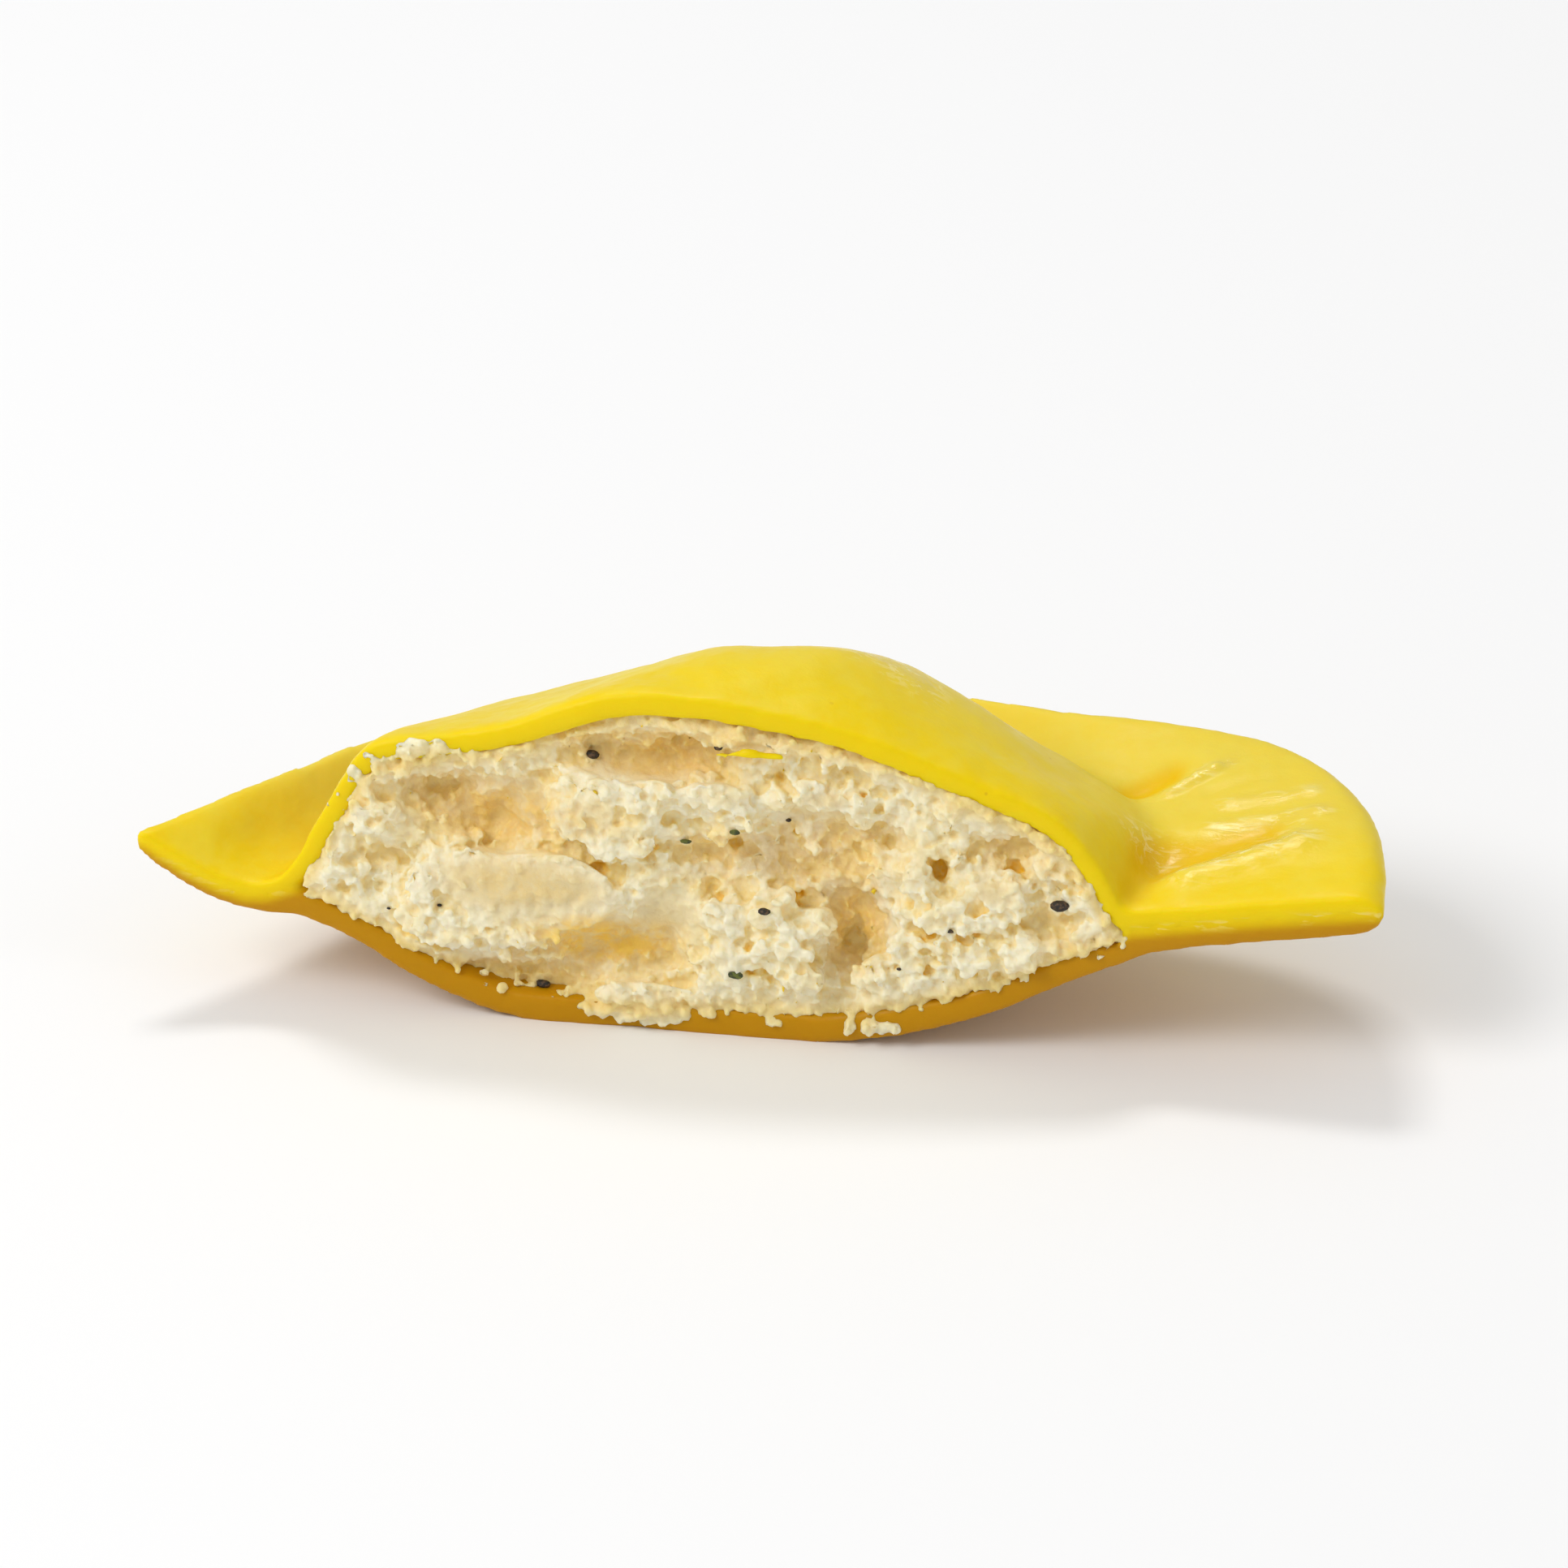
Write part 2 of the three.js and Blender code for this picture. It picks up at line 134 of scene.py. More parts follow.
def finish_with(piece, kind, **settings):
    pick(piece)
    modifier = piece.modifiers.new(kind.lower(), kind)
    for key, value in settings.items():
        setattr(modifier, key, value)
    bpy.ops.object.modifier_apply(modifier=modifier.name)


def joined(name, *objects):
    pick(*objects)
    bpy.ops.object.join()
    bpy.context.object.name = name
    bpy.context.object.data.name = name
    return bpy.context.object


def noise_texture(name, kind, size, **settings):
    texture = bpy.data.textures.new(name, kind)
    texture.noise_scale = size
    for key, value in settings.items():
        setattr(texture, key, value)
    return texture


def read_points(piece, what="co"):
    flat = np.empty(len(piece.data.vertices) * 3)
    piece.data.vertices.foreach_get(what, flat)
    return flat.reshape(-1, 3)


def write_points(piece, points):
    piece.data.vertices.foreach_set("co", points.ravel())
    piece.data.update()


def paint(piece, name, values):
    layer = piece.data.attributes.new(name, "FLOAT", "POINT")
    layer.data.foreach_set("value", np.ascontiguousarray(values, dtype=np.float32))


def rise(values, low, high):
    share = np.clip((values - low) / (high - low), 0, 1)
    return share * share * (3 - 2 * share)


def behind_cut(points, near, far):
    """0 at the cut and up to a near distance behind it, rising to 1 at a far one."""
    return rise(points[:, 1], cut_y + near, cut_y + far)


def beside_line(points, start, end, width):
    """1 on a line seen from above, given in mm from the middle of the cut, fading over width."""
    start, end = np.array(start) * MM, np.array(end) * MM
    run = end - start
    plan = points[:, :2] - np.array((cut_middle_x, cut_y))
    reach = np.clip(((plan - start) @ run) / (run @ run), 0, 1)
    away = np.linalg.norm(plan - start - reach[:, None] * run, axis=1)
    return np.exp(-((away / (width * MM)) ** 2))


sheets = []
for node in ("bottom_sheet", "top_sheet"):
    sheet = copy_of(node, node + "_soft")
    finish_with(sheet, "SUBSURF", levels=SUBDIVISIONS, render_levels=SUBDIVISIONS)
    finish_with(sheet, "DISPLACE", strength=SHEET_SWELL, mid_level=0)
    sheets.append(sheet)

# A shred of the upper sheet torn off by the knife, just inside the cut: places and half sizes

SHRED_PARTS = [
    ((-1.3, -0.35, 19.5), (1.2, 0.4, 0.3)),
    ((-0.2, -0.4, 19.75), (1.1, 0.5, 0.5)),
    ((1.0, -0.3, 19.6), (1.3, 0.4, 0.4)),
]
shreds = []
for place, halves in SHRED_PARTS:
    bpy.ops.object.select_all(action="DESELECT")
    shred_at = Vector((cut_middle_x, cut_y, 0)) + Vector(place) * MM
    bpy.ops.mesh.primitive_ico_sphere_add(subdivisions=3, radius=MM, location=shred_at)
    bpy.ops.transform.resize(value=halves)
    bpy.ops.object.transform_apply(location=True, rotation=True, scale=True)
    shreds.append(bpy.context.object)
dough = joined("dough", *sheets, *shreds)
finish_with(dough, "REMESH", mode="VOXEL", voxel_size=DOUGH_VOXEL, use_smooth_shade=True)
finish_with(dough, "SMOOTH", factor=SMOOTH_FACTOR, iterations=DOUGH_SMOOTHINGS)

# Folds in the upper sheet: from and to as seen from above, width and height, in mm

FOLDS = [
    ((21.4, 13.1), (23.8, 14.4), 1.1, -0.55),
    ((23.8, 12.2), (26.6, 14.3), 0.45, 0.34),
    ((25.6, 13.2), (28.4, 15.8), 0.7, -0.12),
    ((24.2, 5.2), (30.4, 7.4), 1.6, -0.6),
    ((26.2, 3.2), (32.2, 6.0), 1.3, 0.42),
    ((27.4, 1.4), (34.4, 3.4), 1.4, -0.14),
    ((27.0, 8.9), (33.4, 9.5), 0.4, 0.14),
    ((27.6, 10.9), (32.8, 11.5), 0.45, 0.12),
    ((26.4, 12.0), (31.0, 13.6), 0.5, -0.1),
    ((22.8, 1.4), (24.4, 6.6), 1.5, -0.4),
    ((-26.4, 2.2), (-24.6, 7.2), 0.8, 0.22),
    ((-29.4, 1.0), (-28.0, 6.2), 1.3, -0.38),
    ((-34.2, 2.4), (-29.6, 9.2), 0.9, 0.2),
]
UPWARD_TILTS = (0.1, 0.55)
WAVE_SIZE, WAVE_DEPTH = 8 * MM, 0.4 * MM
DIMPLE_SIZE, DIMPLE_DEPTH = 1.9 * MM, 0.14 * MM
points = read_points(dough)
upward = rise(read_points(dough, "normal")[:, 2], *UPWARD_TILTS)
lift = np.zeros(len(points))
for start, end, width, height in FOLDS:
    lift += beside_line(points, start, end, width) * height * MM
points[:, 2] += lift * upward
write_points(dough, points)
wave = noise_texture("dough_wave", "CLOUDS", WAVE_SIZE, noise_depth=1)
dimples = noise_texture("dough_dimples", "CLOUDS", DIMPLE_SIZE, noise_depth=2)
finish_with(dough, "DISPLACE", texture=wave, strength=WAVE_DEPTH, mid_level=0.5)
finish_with(dough, "DISPLACE", texture=dimples, strength=DIMPLE_DEPTH, mid_level=0.5)

# The cut edges: a shallow groove where the two sheets meet, on both wings

SEAM_HALF = 0.24 * MM
SEAM_DEPTH = 0.09 * MM
FLOURY_LEFT = 0.35
CUT_REACH = 1.0 * MM
CUT_TILTS = (0.3, 0.75)
ON_CUT = 0.01 * MM


def cut_line(node, side):
    """Height of a sheet's inner face along the cut: places across, and heights."""
    points = read_points(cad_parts[node])
    on_cut = points[np.abs(points[:, 1] - cut_y) < ON_CUT]
    places = np.unique(np.round(on_cut[:, 0], 6))
    heights = [side(on_cut[np.abs(on_cut[:, 0] - x) < ON_CUT, 2]) for x in places]
    return places, np.array(heights)


under_x, under_z = cut_line("bottom_sheet", np.max)
over_x, over_z = cut_line("top_sheet", np.min)
fill_low, fill_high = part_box("filling")
points = read_points(dough)
normals = read_points(dough, "normal")
under_at = np.interp(points[:, 0], under_x, under_z)
over_at = np.interp(points[:, 0], over_x, over_z)
seam_z = (under_at + over_at) / 2
on_wing = (points[:, 0] > fill_high.x) | (points[:, 0] < fill_low.x)
near_seam = np.exp(-(((points[:, 2] - seam_z) / SEAM_HALF) ** 2)) * on_wing
floury = np.where(points[:, 0] > fill_high.x, 1, FLOURY_LEFT)
facing_cut = rise(-normals[:, 1], *CUT_TILTS) * (points[:, 1] < cut_y + CUT_REACH)
points[:, 1] += SEAM_DEPTH * near_seam * facing_cut
write_points(dough, points)

# Where cooking water still shines on the upper sheet

WET_LINES = [
    ((26.0, 3.8), (32.4, 6.6), 1.2, 1.1),
    ((27.2, 8.4), (33.6, 9.2), 0.7, 0.8),
    ((27.6, 10.8), (32.8, 11.6), 0.6, 0.5),
    ((23.8, 12.2), (27.3, 14.8), 0.5, 0.9),
    ((22.8, 6.6), (24.8, 6.2), 1.3, 0.6),
    ((2.0, 10.0), (9.0, 8.4), 1.6, 0.7),
]
wet = np.zeros(len(points))
for start, end, width, strength in WET_LINES:
    wet = np.maximum(wet, beside_line(points, start, end, width) * strength)
paint(dough, "wet", wet * upward)
paint(dough, "cut", facing_cut)
paint(dough, "seam", near_seam * facing_cut * floury)

# Painted shade: deeper colour in the folds and below; painted sheen: pale haze towards the back

FOLD_DEPTHS = (0.08 * MM, 0.55 * MM)
TOP_TILTS = (-0.15, 0.2)
TOP_BEHIND = (2 * MM, 6 * MM)
BELOW_SEAM = (-0.2 * MM, 0.8 * MM)
SHEEN_BEHIND = (1.5 * MM, 11 * MM)
paint(dough, "fold_shade", rise(-lift, *FOLD_DEPTHS) * upward)
top_side = rise(normals[:, 2], *TOP_TILTS) * behind_cut(points, *TOP_BEHIND)
paint(dough, "under", rise(seam_z - points[:, 2], *BELOW_SEAM) * (1 - top_side))
paint(dough, "painted_sheen", behind_cut(points, *SHEEN_BEHIND) * upward)


def add_node(tree, kind, links=None, **settings):
    node = tree.nodes.new(kind)
    for key, value in settings.items():
        setattr(node, key, value)
    for socket, source in (links or {}).items():
        if isinstance(source, bpy.types.NodeSocket):
            tree.links.new(source, node.inputs[socket])
        else:
            node.inputs[socket].default_value = source
    return node


def add_noise(tree, vector, size, detail=3.0, roughness=0.5, distortion=0.0):
    links = {
        "Vector": vector,
        "Scale": 1 / size,
        "Detail": detail,
        "Roughness": roughness,
        "Distortion": distortion,
    }
    return add_node(tree, "ShaderNodeTexNoise", links).outputs["Fac"]


def add_range(tree, value, low, high, new_low=0.0, new_high=1.0):
    links = {"Value": value, "From Min": low, "From Max": high}
    links.update({"To Min": new_low, "To Max": new_high})
    node = add_node(tree, "ShaderNodeMapRange", links, interpolation_type="SMOOTHSTEP")
    return node.outputs["Result"]


def add_mix(tree, factor, first, second):
    links = {0: factor, 6: first, 7: second}
    return add_node(tree, "ShaderNodeMix", links, data_type="RGBA").outputs[2]


def add_math(tree, operation, first, second):
    return add_node(tree, "ShaderNodeMath", {0: first, 1: second}, operation=operation).outputs[0]


def add_mask(tree, name):
    return add_node(tree, "ShaderNodeAttribute", attribute_name=name).outputs["Fac"]


def add_layers(tree, colour, layers):
    """Lays colours over a first one, each by its mask and share."""
    for mask, share, tone in layers:
        colour = add_mix(tree, add_math(tree, "MULTIPLY", mask, share), colour, tone)
    return colour


def tint(red, green, blue):
    """A colour given as it looks on a screen, 0 to 255."""
    shares = [value / 255 for value in (red, green, blue)]
    return (*[s / 12.92 if s <= 0.04045 else ((s + 0.055) / 1.055) ** 2.4 for s in shares], 1)


def new_material(name, values):
    """A material, its node tree and its shader, with the values that are the same all over."""
    material = bpy.data.materials.new(name)
    material.use_nodes = True
    shader = material.node_tree.nodes["Principled BSDF"]
    for socket, value in values.items():
        shader.inputs[socket].default_value = value
    return material, material.node_tree, shader


def new_group(name, inputs, output):
    """A node group that reads a place and named numbers and puts out one named value."""
    group = bpy.data.node_groups.new(name, "ShaderNodeTree")
    group.interface.new_socket(name="Place", in_out="INPUT", socket_type="NodeSocketVector")
    for label in inputs:
        group.interface.new_socket(name=label, in_out="INPUT", socket_type="NodeSocketFloat")
    group.interface.new_socket(name=output, in_out="OUTPUT", socket_type="NodeSocketFloat")
    given = add_node(group, "NodeGroupInput").outputs
    result = add_node(group, "NodeGroupOutput").inputs
    return group, given, result


# Food is never even: one group makes soft patches and another fine grain, for all its materials

GRAIN_DETAIL = 4
patchiness, given, result = new_group(
    "patchiness",
    ("Scale", "Detail", "Roughness", "Distortion", "From", "To", "Least", "Most"),
    "Share",
)
noise_links = {"Vector": given["Place"]}
noise_links.update({name: given[name] for name in ("Scale", "Detail", "Roughness", "Distortion")})
noise = add_node(patchiness, "ShaderNodeTexNoise", noise_links).outputs["Fac"]
share = add_range(patchiness, noise, given["From"], given["To"], given["Least"], given["Most"])
patchiness.links.new(share, result["Share"])

fine_grain, given, result = new_group("fine_grain", ("Scale", "Roughness"), "Height")
noise_links = {"Vector": given["Place"], "Detail": GRAIN_DETAIL}
noise_links.update({name: given[name] for name in ("Scale", "Roughness")})
noise = add_node(fine_grain, "ShaderNodeTexNoise", noise_links).outputs["Fac"]
fine_grain.links.new(noise, result["Height"])


def add_patches(tree, place, size, detail, roughness, distortion, spread, shares=(0, 1)):
    links = {
        "Place": place,
        "Scale": 1 / size,
        "Detail": detail,
        "Roughness": roughness,
        "Distortion": distortion,
        "From": spread[0],
        "To": spread[1],
        "Least": shares[0],
        "Most": shares[1],
    }
    return add_node(tree, "ShaderNodeGroup", links, node_tree=patchiness).outputs["Share"]


def add_grain(tree, place, size, roughness):
    links = {"Place": place, "Scale": 1 / size, "Roughness": roughness}
    return add_node(tree, "ShaderNodeGroup", links, node_tree=fine_grain).outputs["Height"]


EGG_YELLOW = tint(237, 205, 0)
PALE_YELLOW = tint(236, 213, 60)
SHEEN_HAZE_YELLOW = tint(226, 204, 86)
FOLD_SHADE_YELLOW = tint(231, 189, 0)
CUT_YELLOW = tint(240, 210, 0)
UNDER_SHADE_YELLOW = tint(188, 128, 0)
SEAM_PALE = tint(240, 216, 104)
SPECK_BROWN = tint(190, 136, 30)
GLINT_PALE = tint(255, 244, 176)
LONG_WAY = (0.3, 1, 1)
SPECK_SPACING = 3 * MM
SPECK_SIZES = (0.03, 0.06)
GLINT_FROM, GLINT_TO = 0.5, 0.62
GRAIN_HEIGHT, PORE_HEIGHT, RIPPLE_HEIGHT = 0.3, 0.5, 2.2
BUMP_STRENGTH = 0.6
BUMP_DEPTH = 0.12 * MM
WET_COAT = 0.9

egg_dough, tree, shader = new_material("egg_dough", {
    "Coat Roughness": 0.12,
    "Subsurface Weight": 0.4,
    "Subsurface Radius": (1.0, 0.62, 0.12),
    "Subsurface Scale": 0.9 * MM,
    "Specular IOR Level": 0.15,
})
place = add_node(tree, "ShaderNodeTexCoord").outputs["Object"]
stretched = {"Vector": place, "Scale": LONG_WAY}
long_place = add_node(tree, "ShaderNodeMapping", stretched).outputs["Vector"]
wet_mask = add_mask(tree, "wet")
blotches = add_patches(tree, place, 5.5 * MM, 3, 0.55, 0.6, (0.42, 0.66))
mottling = add_patches(tree, place, 1.1 * MM, 4, 0.6, 0, (0.35, 0.7))
flecks = add_patches(tree, long_place, 0.5 * MM, 2, 0.5, 0, (0.56, 0.64))
cells = add_node(tree, "ShaderNodeTexVoronoi", {"Vector": place, "Scale": 1 / SPECK_SPACING})
specks = add_range(tree, cells.outputs["Distance"], *SPECK_SIZES, 1, 0)
speckled = add_patches(tree, place, 8 * MM, 1, 0.5, 0, (0.5, 0.6))
ripple = add_noise(tree, long_place, 0.6 * MM, 4, 0.65, 0.8)
glint = add_range(tree, ripple, GLINT_FROM, GLINT_TO)
colour = add_layers(tree, EGG_YELLOW, (
    (blotches, 0.55, PALE_YELLOW),
    (mottling, 0.3, PALE_YELLOW),
    # painted sheen: paler on the upward faces towards the back
    (add_mask(tree, "painted_sheen"), 0.5, SHEEN_HAZE_YELLOW),
    # painted shade in the hollows of the folds
    (add_mask(tree, "fold_shade"), 1, FOLD_SHADE_YELLOW),
    (add_mask(tree, "cut"), 0.9, CUT_YELLOW),
    # painted shade on the lower band of dough, below the seam
    (add_mask(tree, "under"), 0.9, UNDER_SHADE_YELLOW),
    (add_math(tree, "MULTIPLY", add_mask(tree, "seam"), flecks), 1, SEAM_PALE),
    (add_math(tree, "MULTIPLY", specks, speckled), 0.35, SPECK_BROWN),
    (add_math(tree, "MULTIPLY", glint, wet_mask), 0.75, GLINT_PALE),
))
tree.links.new(colour, shader.inputs["Base Color"])
grain = add_grain(tree, place, 0.38 * MM, 0.7)
pores = add_noise(tree, place, 1.4 * MM, 3, 0.6)
grain_height = add_math(tree, "MULTIPLY", grain, GRAIN_HEIGHT)
pore_height = add_math(tree, "MULTIPLY", pores, PORE_HEIGHT)
wet_ripple = add_math(tree, "MULTIPLY", ripple, wet_mask)
ripple_height = add_math(tree, "MULTIPLY", wet_ripple, RIPPLE_HEIGHT)
height = add_math(tree, "ADD", add_math(tree, "ADD", grain_height, pore_height), ripple_height)
bump_links = {"Height": height, "Strength": BUMP_STRENGTH, "Distance": BUMP_DEPTH}
bump = add_node(tree, "ShaderNodeBump", bump_links)
tree.links.new(bump.outputs["Normal"], shader.inputs["Normal"])
tree.links.new(bump.outputs["Normal"], shader.inputs["Coat Normal"])
tree.links.new(add_math(tree, "MULTIPLY", wet_mask, WET_COAT), shader.inputs["Coat Weight"])
tree.links.new(add_range(tree, pores, 0.3, 0.7, 0.36, 0.5), shader.inputs["Roughness"])

dough.data.materials.append(egg_dough)
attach(dough, "root")
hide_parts("top_sheet", "bottom_sheet")

# Filling
# Drained fresh cheese, torn rather than sliced by the cut: lumps that held together stand out of
# a soft face, with knobs of curd all over them and small pits in between.

SEED = 7
CORE_VOXEL = 0.3 * MM
CURD_VOXEL = 0.14 * MM
CORE_SWELL = 0.4 * MM
SWELL_BEHIND = (2 * MM, 5 * MM)
CHEESE_SMOOTHINGS = 2
FLOOR_RISE = 0.6 * MM
FACE_DEPTH = 7 * MM
LOOK_FROM = 20
WEIGHT_STEPS = 10
FACE_TILTS = (-0.2, 0.2)
chance = np.random.default_rng(SEED)


def seen_place(points):
    """Where points show on the plane of the cut from the front: across and up, in mm."""
    behind = points[:, 1] - cut_y
    across = points[:, 0] - backward.x / backward.y * behind - cut_middle_x
    up = points[:, 2] - backward.z / backward.y * behind - FLOOR_RISE
    return across / MM, up / MM


def face_spot(tree, across, up, depth=FACE_DEPTH):
    """The point and normal of the broken face that show at such a place, or None beside it."""
    start = Vector((cut_middle_x + across * MM, cut_y, up * MM + FLOOR_RISE))
    start = start + backward * LOOK_FROM * MM
    hit, normal, _, _ = tree.ray_cast(start, -backward)
    return (hit, normal) if hit is not None and hit.y < cut_y + depth else (None, None)


def weigh(piece, name, shares):
    """A vertex group, its weights rounded to tenths."""
    group = piece.vertex_groups.new(name=name)
    for step in range(1, WEIGHT_STEPS + 1):
        chosen = np.flatnonzero(np.round(shares * WEIGHT_STEPS) == step)
        group.add(chosen.tolist(), step / WEIGHT_STEPS, "REPLACE")


def tree_of(piece):
    return BVHTree.FromObject(piece, bpy.context.evaluated_depsgraph_get())


def patch_share(patches, across, up, edge):
    """How far places lie in patches, each an across, up, half width, half height and share."""
    share = np.zeros(np.shape(across))
    for middle_x, middle_z, half_width, half_height, most in patches:
        away = np.hypot((across - middle_x) / half_width, (up - middle_z) / half_height)
        share = np.maximum(share, most * np.exp(-(away ** edge)))
    return share


CURD_SHAPES = 8
CURD_CUTS = 7
CURD_FLATS = (0.7, 0.95)
CURD_WIDTHS = (0.6, 1.1)


def curd_shape():
    """A ball of radius 1 with flats broken off all round."""
    bpy.ops.object.select_all(action="DESELECT")
    bpy.ops.mesh.primitive_ico_sphere_add(subdivisions=2, radius=1)
    ball = bpy.context.object
    points = read_points(ball)
    faces = np.array([list(face.vertices) for face in ball.data.polygons])
    bpy.data.objects.remove(ball)
    for number in range(CURD_CUTS):
        towards = chance.normal(size=3)
        towards /= np.linalg.norm(towards)
        over = np.clip(points @ towards - chance.uniform(*CURD_FLATS), 0, None)
        points -= over[:, None] * towards
    return points, faces


curd_shapes = [curd_shape() for number in range(CURD_SHAPES)]


def curd_mesh(name, curds):
    """One mesh of many curds, each a centre and three radii, or one radius and random others."""
    all_points, all_faces, count = [], [], 0
    for centre, radii in curds:
        points, faces = curd_shapes[chance.integers(CURD_SHAPES)]
        turn, _ = np.linalg.qr(chance.normal(size=(3, 3)))
        if np.ndim(radii):
            points = (points @ turn.T) * np.array(radii)
        else:
            points = (points * radii * chance.uniform(*CURD_WIDTHS, size=3)) @ turn.T
        if np.linalg.det(turn) < 0:
            faces = faces[:, ::-1]
        all_points.append(points + np.array(centre))
        all_faces.append(faces + count)
        count += len(points)
    mesh = bpy.data.meshes.new(name)
    mesh.from_pydata(np.concatenate(all_points).tolist(), [], np.concatenate(all_faces).tolist())
    piece = bpy.data.objects.new(name, mesh)
    scene.collection.objects.link(piece)
    return piece


filling = copy_of("filling", "filling_core")
finish_with(filling, "SUBSURF", levels=SUBDIVISIONS, render_levels=SUBDIVISIONS)
weigh(filling, "near_cut", 1 - behind_cut(read_points(filling), *SWELL_BEHIND))
finish_with(filling, "DISPLACE", strength=CORE_SWELL, mid_level=0, vertex_group="near_cut")


def press_in(piece, patches, edge):
    """Presses patches of the broken face in: across, up, half width, half height, depth."""
    points = read_points(piece)
    across, up = seen_place(points)
    facing = rise(-read_points(piece, "normal")[:, 1], *FACE_TILTS)
    facing = facing * (points[:, 1] < cut_y + FACE_DEPTH)
    for middle_x, middle_z, half_width, half_height, depth in patches:
        away = np.hypot((across - middle_x) / half_width, (up - middle_z) / half_height)
        points -= (depth * MM * np.exp(-(away ** edge)) * facing)[:, None] * np.array(backward)
    write_points(piece, points)


def hold_back(piece, free, most):
    """Holds back what stands out of the cut past the free distance, at last to the most."""
    points = read_points(piece)
    out = np.clip(cut_y - points[:, 1] - free, 0, None)
    points[:, 1] += out - (most - free) * (1 - np.exp(-out / (most - free)))
    write_points(piece, points)


# Broad hollows where cheese fell out: across, up, half width, half height, depth

HOLLOW_EDGE = 4
HOLLOWS = [
    (-3.0, 8.8, 22.0, 8.5, 0.5),
    (-17.6, 14.2, 5.4, 2.6, 0.8),
    (-23.0, 8.9, 2.4, 1.1, 0.8),
    (-16.0, 1.9, 5.6, 1.1, 1.2),
    (-7.6, 17.8, 4.6, 1.0, 0.9),
    (-3.3, 12.6, 2.4, 1.8, 0.6),
    (7.2, 13.2, 1.6, 2.0, 0.6),
    (16.3, 11.8, 1.6, 1.4, 0.7),
    (6.0, 6.6, 1.2, 2.6, 0.8),
    (-8.6, 4.6, 4.8, 1.8, 0.6),
]
press_in(filling, HOLLOWS, HOLLOW_EDGE)

# Lumps that hold together: across, up, half width, half height, and how far they stand out

LUMPS = [
    (11.9, 10.4, 1.3, 1.1, 0.95),
    (-17.2, 7.7, 4.8, 3.3, 1.4),
    (-13.0, 8.2, 4.8, 2.9, 1.7),
    (-9.6, 8.6, 2.8, 1.6, 1.01),
    (-20.4, 6.0, 1.8, 1.5, 1.4),
    (-18.9, 4.8, 1.4, 1.2, 1.7),
    (-14.4, 5.0, 2.7, 1.2, 1.9),
    (-16.6, 6.0, 1.6, 1.3, 1.7),
    (-23.2, 10.0, 1.9, 1.3, 0.03),
    (-11.2, 13.8, 2.0, 1.7, 1.01),
    (-8.8, 14.2, 2.6, 2.0, 1.43),
    (-6.2, 15.4, 2.0, 1.3, 1.15),
    (-8.2, 12.0, 2.6, 1.3, 1.01),
    (-2.6, 15.8, 2.3, 1.1, 1.01),
    (-0.9, 14.4, 1.0, 1.0, 0.59),
    (1.4, 16.0, 1.6, 1.0, 0.45),
    (4.6, 16.2, 2.8, 1.0, 0.87),
    (6.6, 15.0, 1.1, 0.9, 1.43),
    (3.4, 17.4, 1.8, 0.8, 0.31),
    (0.8, 13.4, 1.6, 1.7, 0.45),
    (5.6, 13.6, 1.1, 1.0, 0.59),
    (-1.6, 7.4, 2.2, 1.3, 0.87),
    (1.2, 8.4, 1.7, 1.4, 1.29),
    (3.6, 7.6, 1.6, 1.1, 1.43),
    (1.2, 5.6, 2.8, 1.7, 1.15),
    (3.0, 3.8, 1.8, 1.4, 1.01),
    (-1.2, 4.8, 1.6, 1.2, 0.73),
    (10.1, 11.2, 1.0, 1.8, 1.43),
    (12.2, 8.7, 3.0, 1.3, 1.29),
    (15.0, 10.2, 2.2, 1.9, 1.01),
    (13.6, 12.2, 1.8, 1.0, 0.73),
    (12.1, 13.6, 1.2, 1.0, 0.45),
    (13.2, 6.6, 2.6, 1.4, 0.87),
    (16.6, 7.0, 1.5, 1.6, 1.01),
    (9.6, 6.2, 1.6, 1.4, 0.73),
    (8.0, 4.2, 2.2, 1.1, 0.59),
    (11.8, 4.8, 1.8, 1.0, 0.45),
    (-23.6, 12.8, 1.5, 1.3, 0.87),
    (-24.8, 9.2, 1.5, 1.2, 0.45),
    (-21.6, 8.4, 1.8, 1.5, 0.59),
    (18.4, 12.4, 1.6, 1.4, 0.31),
    (20.6, 8.6, 1.4, 1.0, 0.59),
    (-6.6, 1.7, 3.4, 0.9, 0.73),
]
LUMP_FLATNESS = 0.8
LUMP_SINK = 0.6
core_tree = tree_of(filling)
lumps = []
for across, up, half_width, half_height, out in LUMPS:
    hit, _ = face_spot(core_tree, across, up)
    if hit is None:
        continue
    half_depth = LUMP_FLATNESS * half_height
    centre = hit + backward * (out * MM - half_depth * MM * LUMP_SINK)
    lumps.append((centre, (half_width * MM, half_depth * MM, half_height * MM)))
filling = joined("filling_lumps", filling, curd_mesh("lumps", lumps))
finish_with(filling, "REMESH", mode="VOXEL", voxel_size=CORE_VOXEL, use_smooth_shade=True)
finish_with(filling, "SMOOTH", factor=SMOOTH_FACTOR, iterations=CHEESE_SMOOTHINGS)

# Pits and slits torn into it: across, up, half width, half height, depth

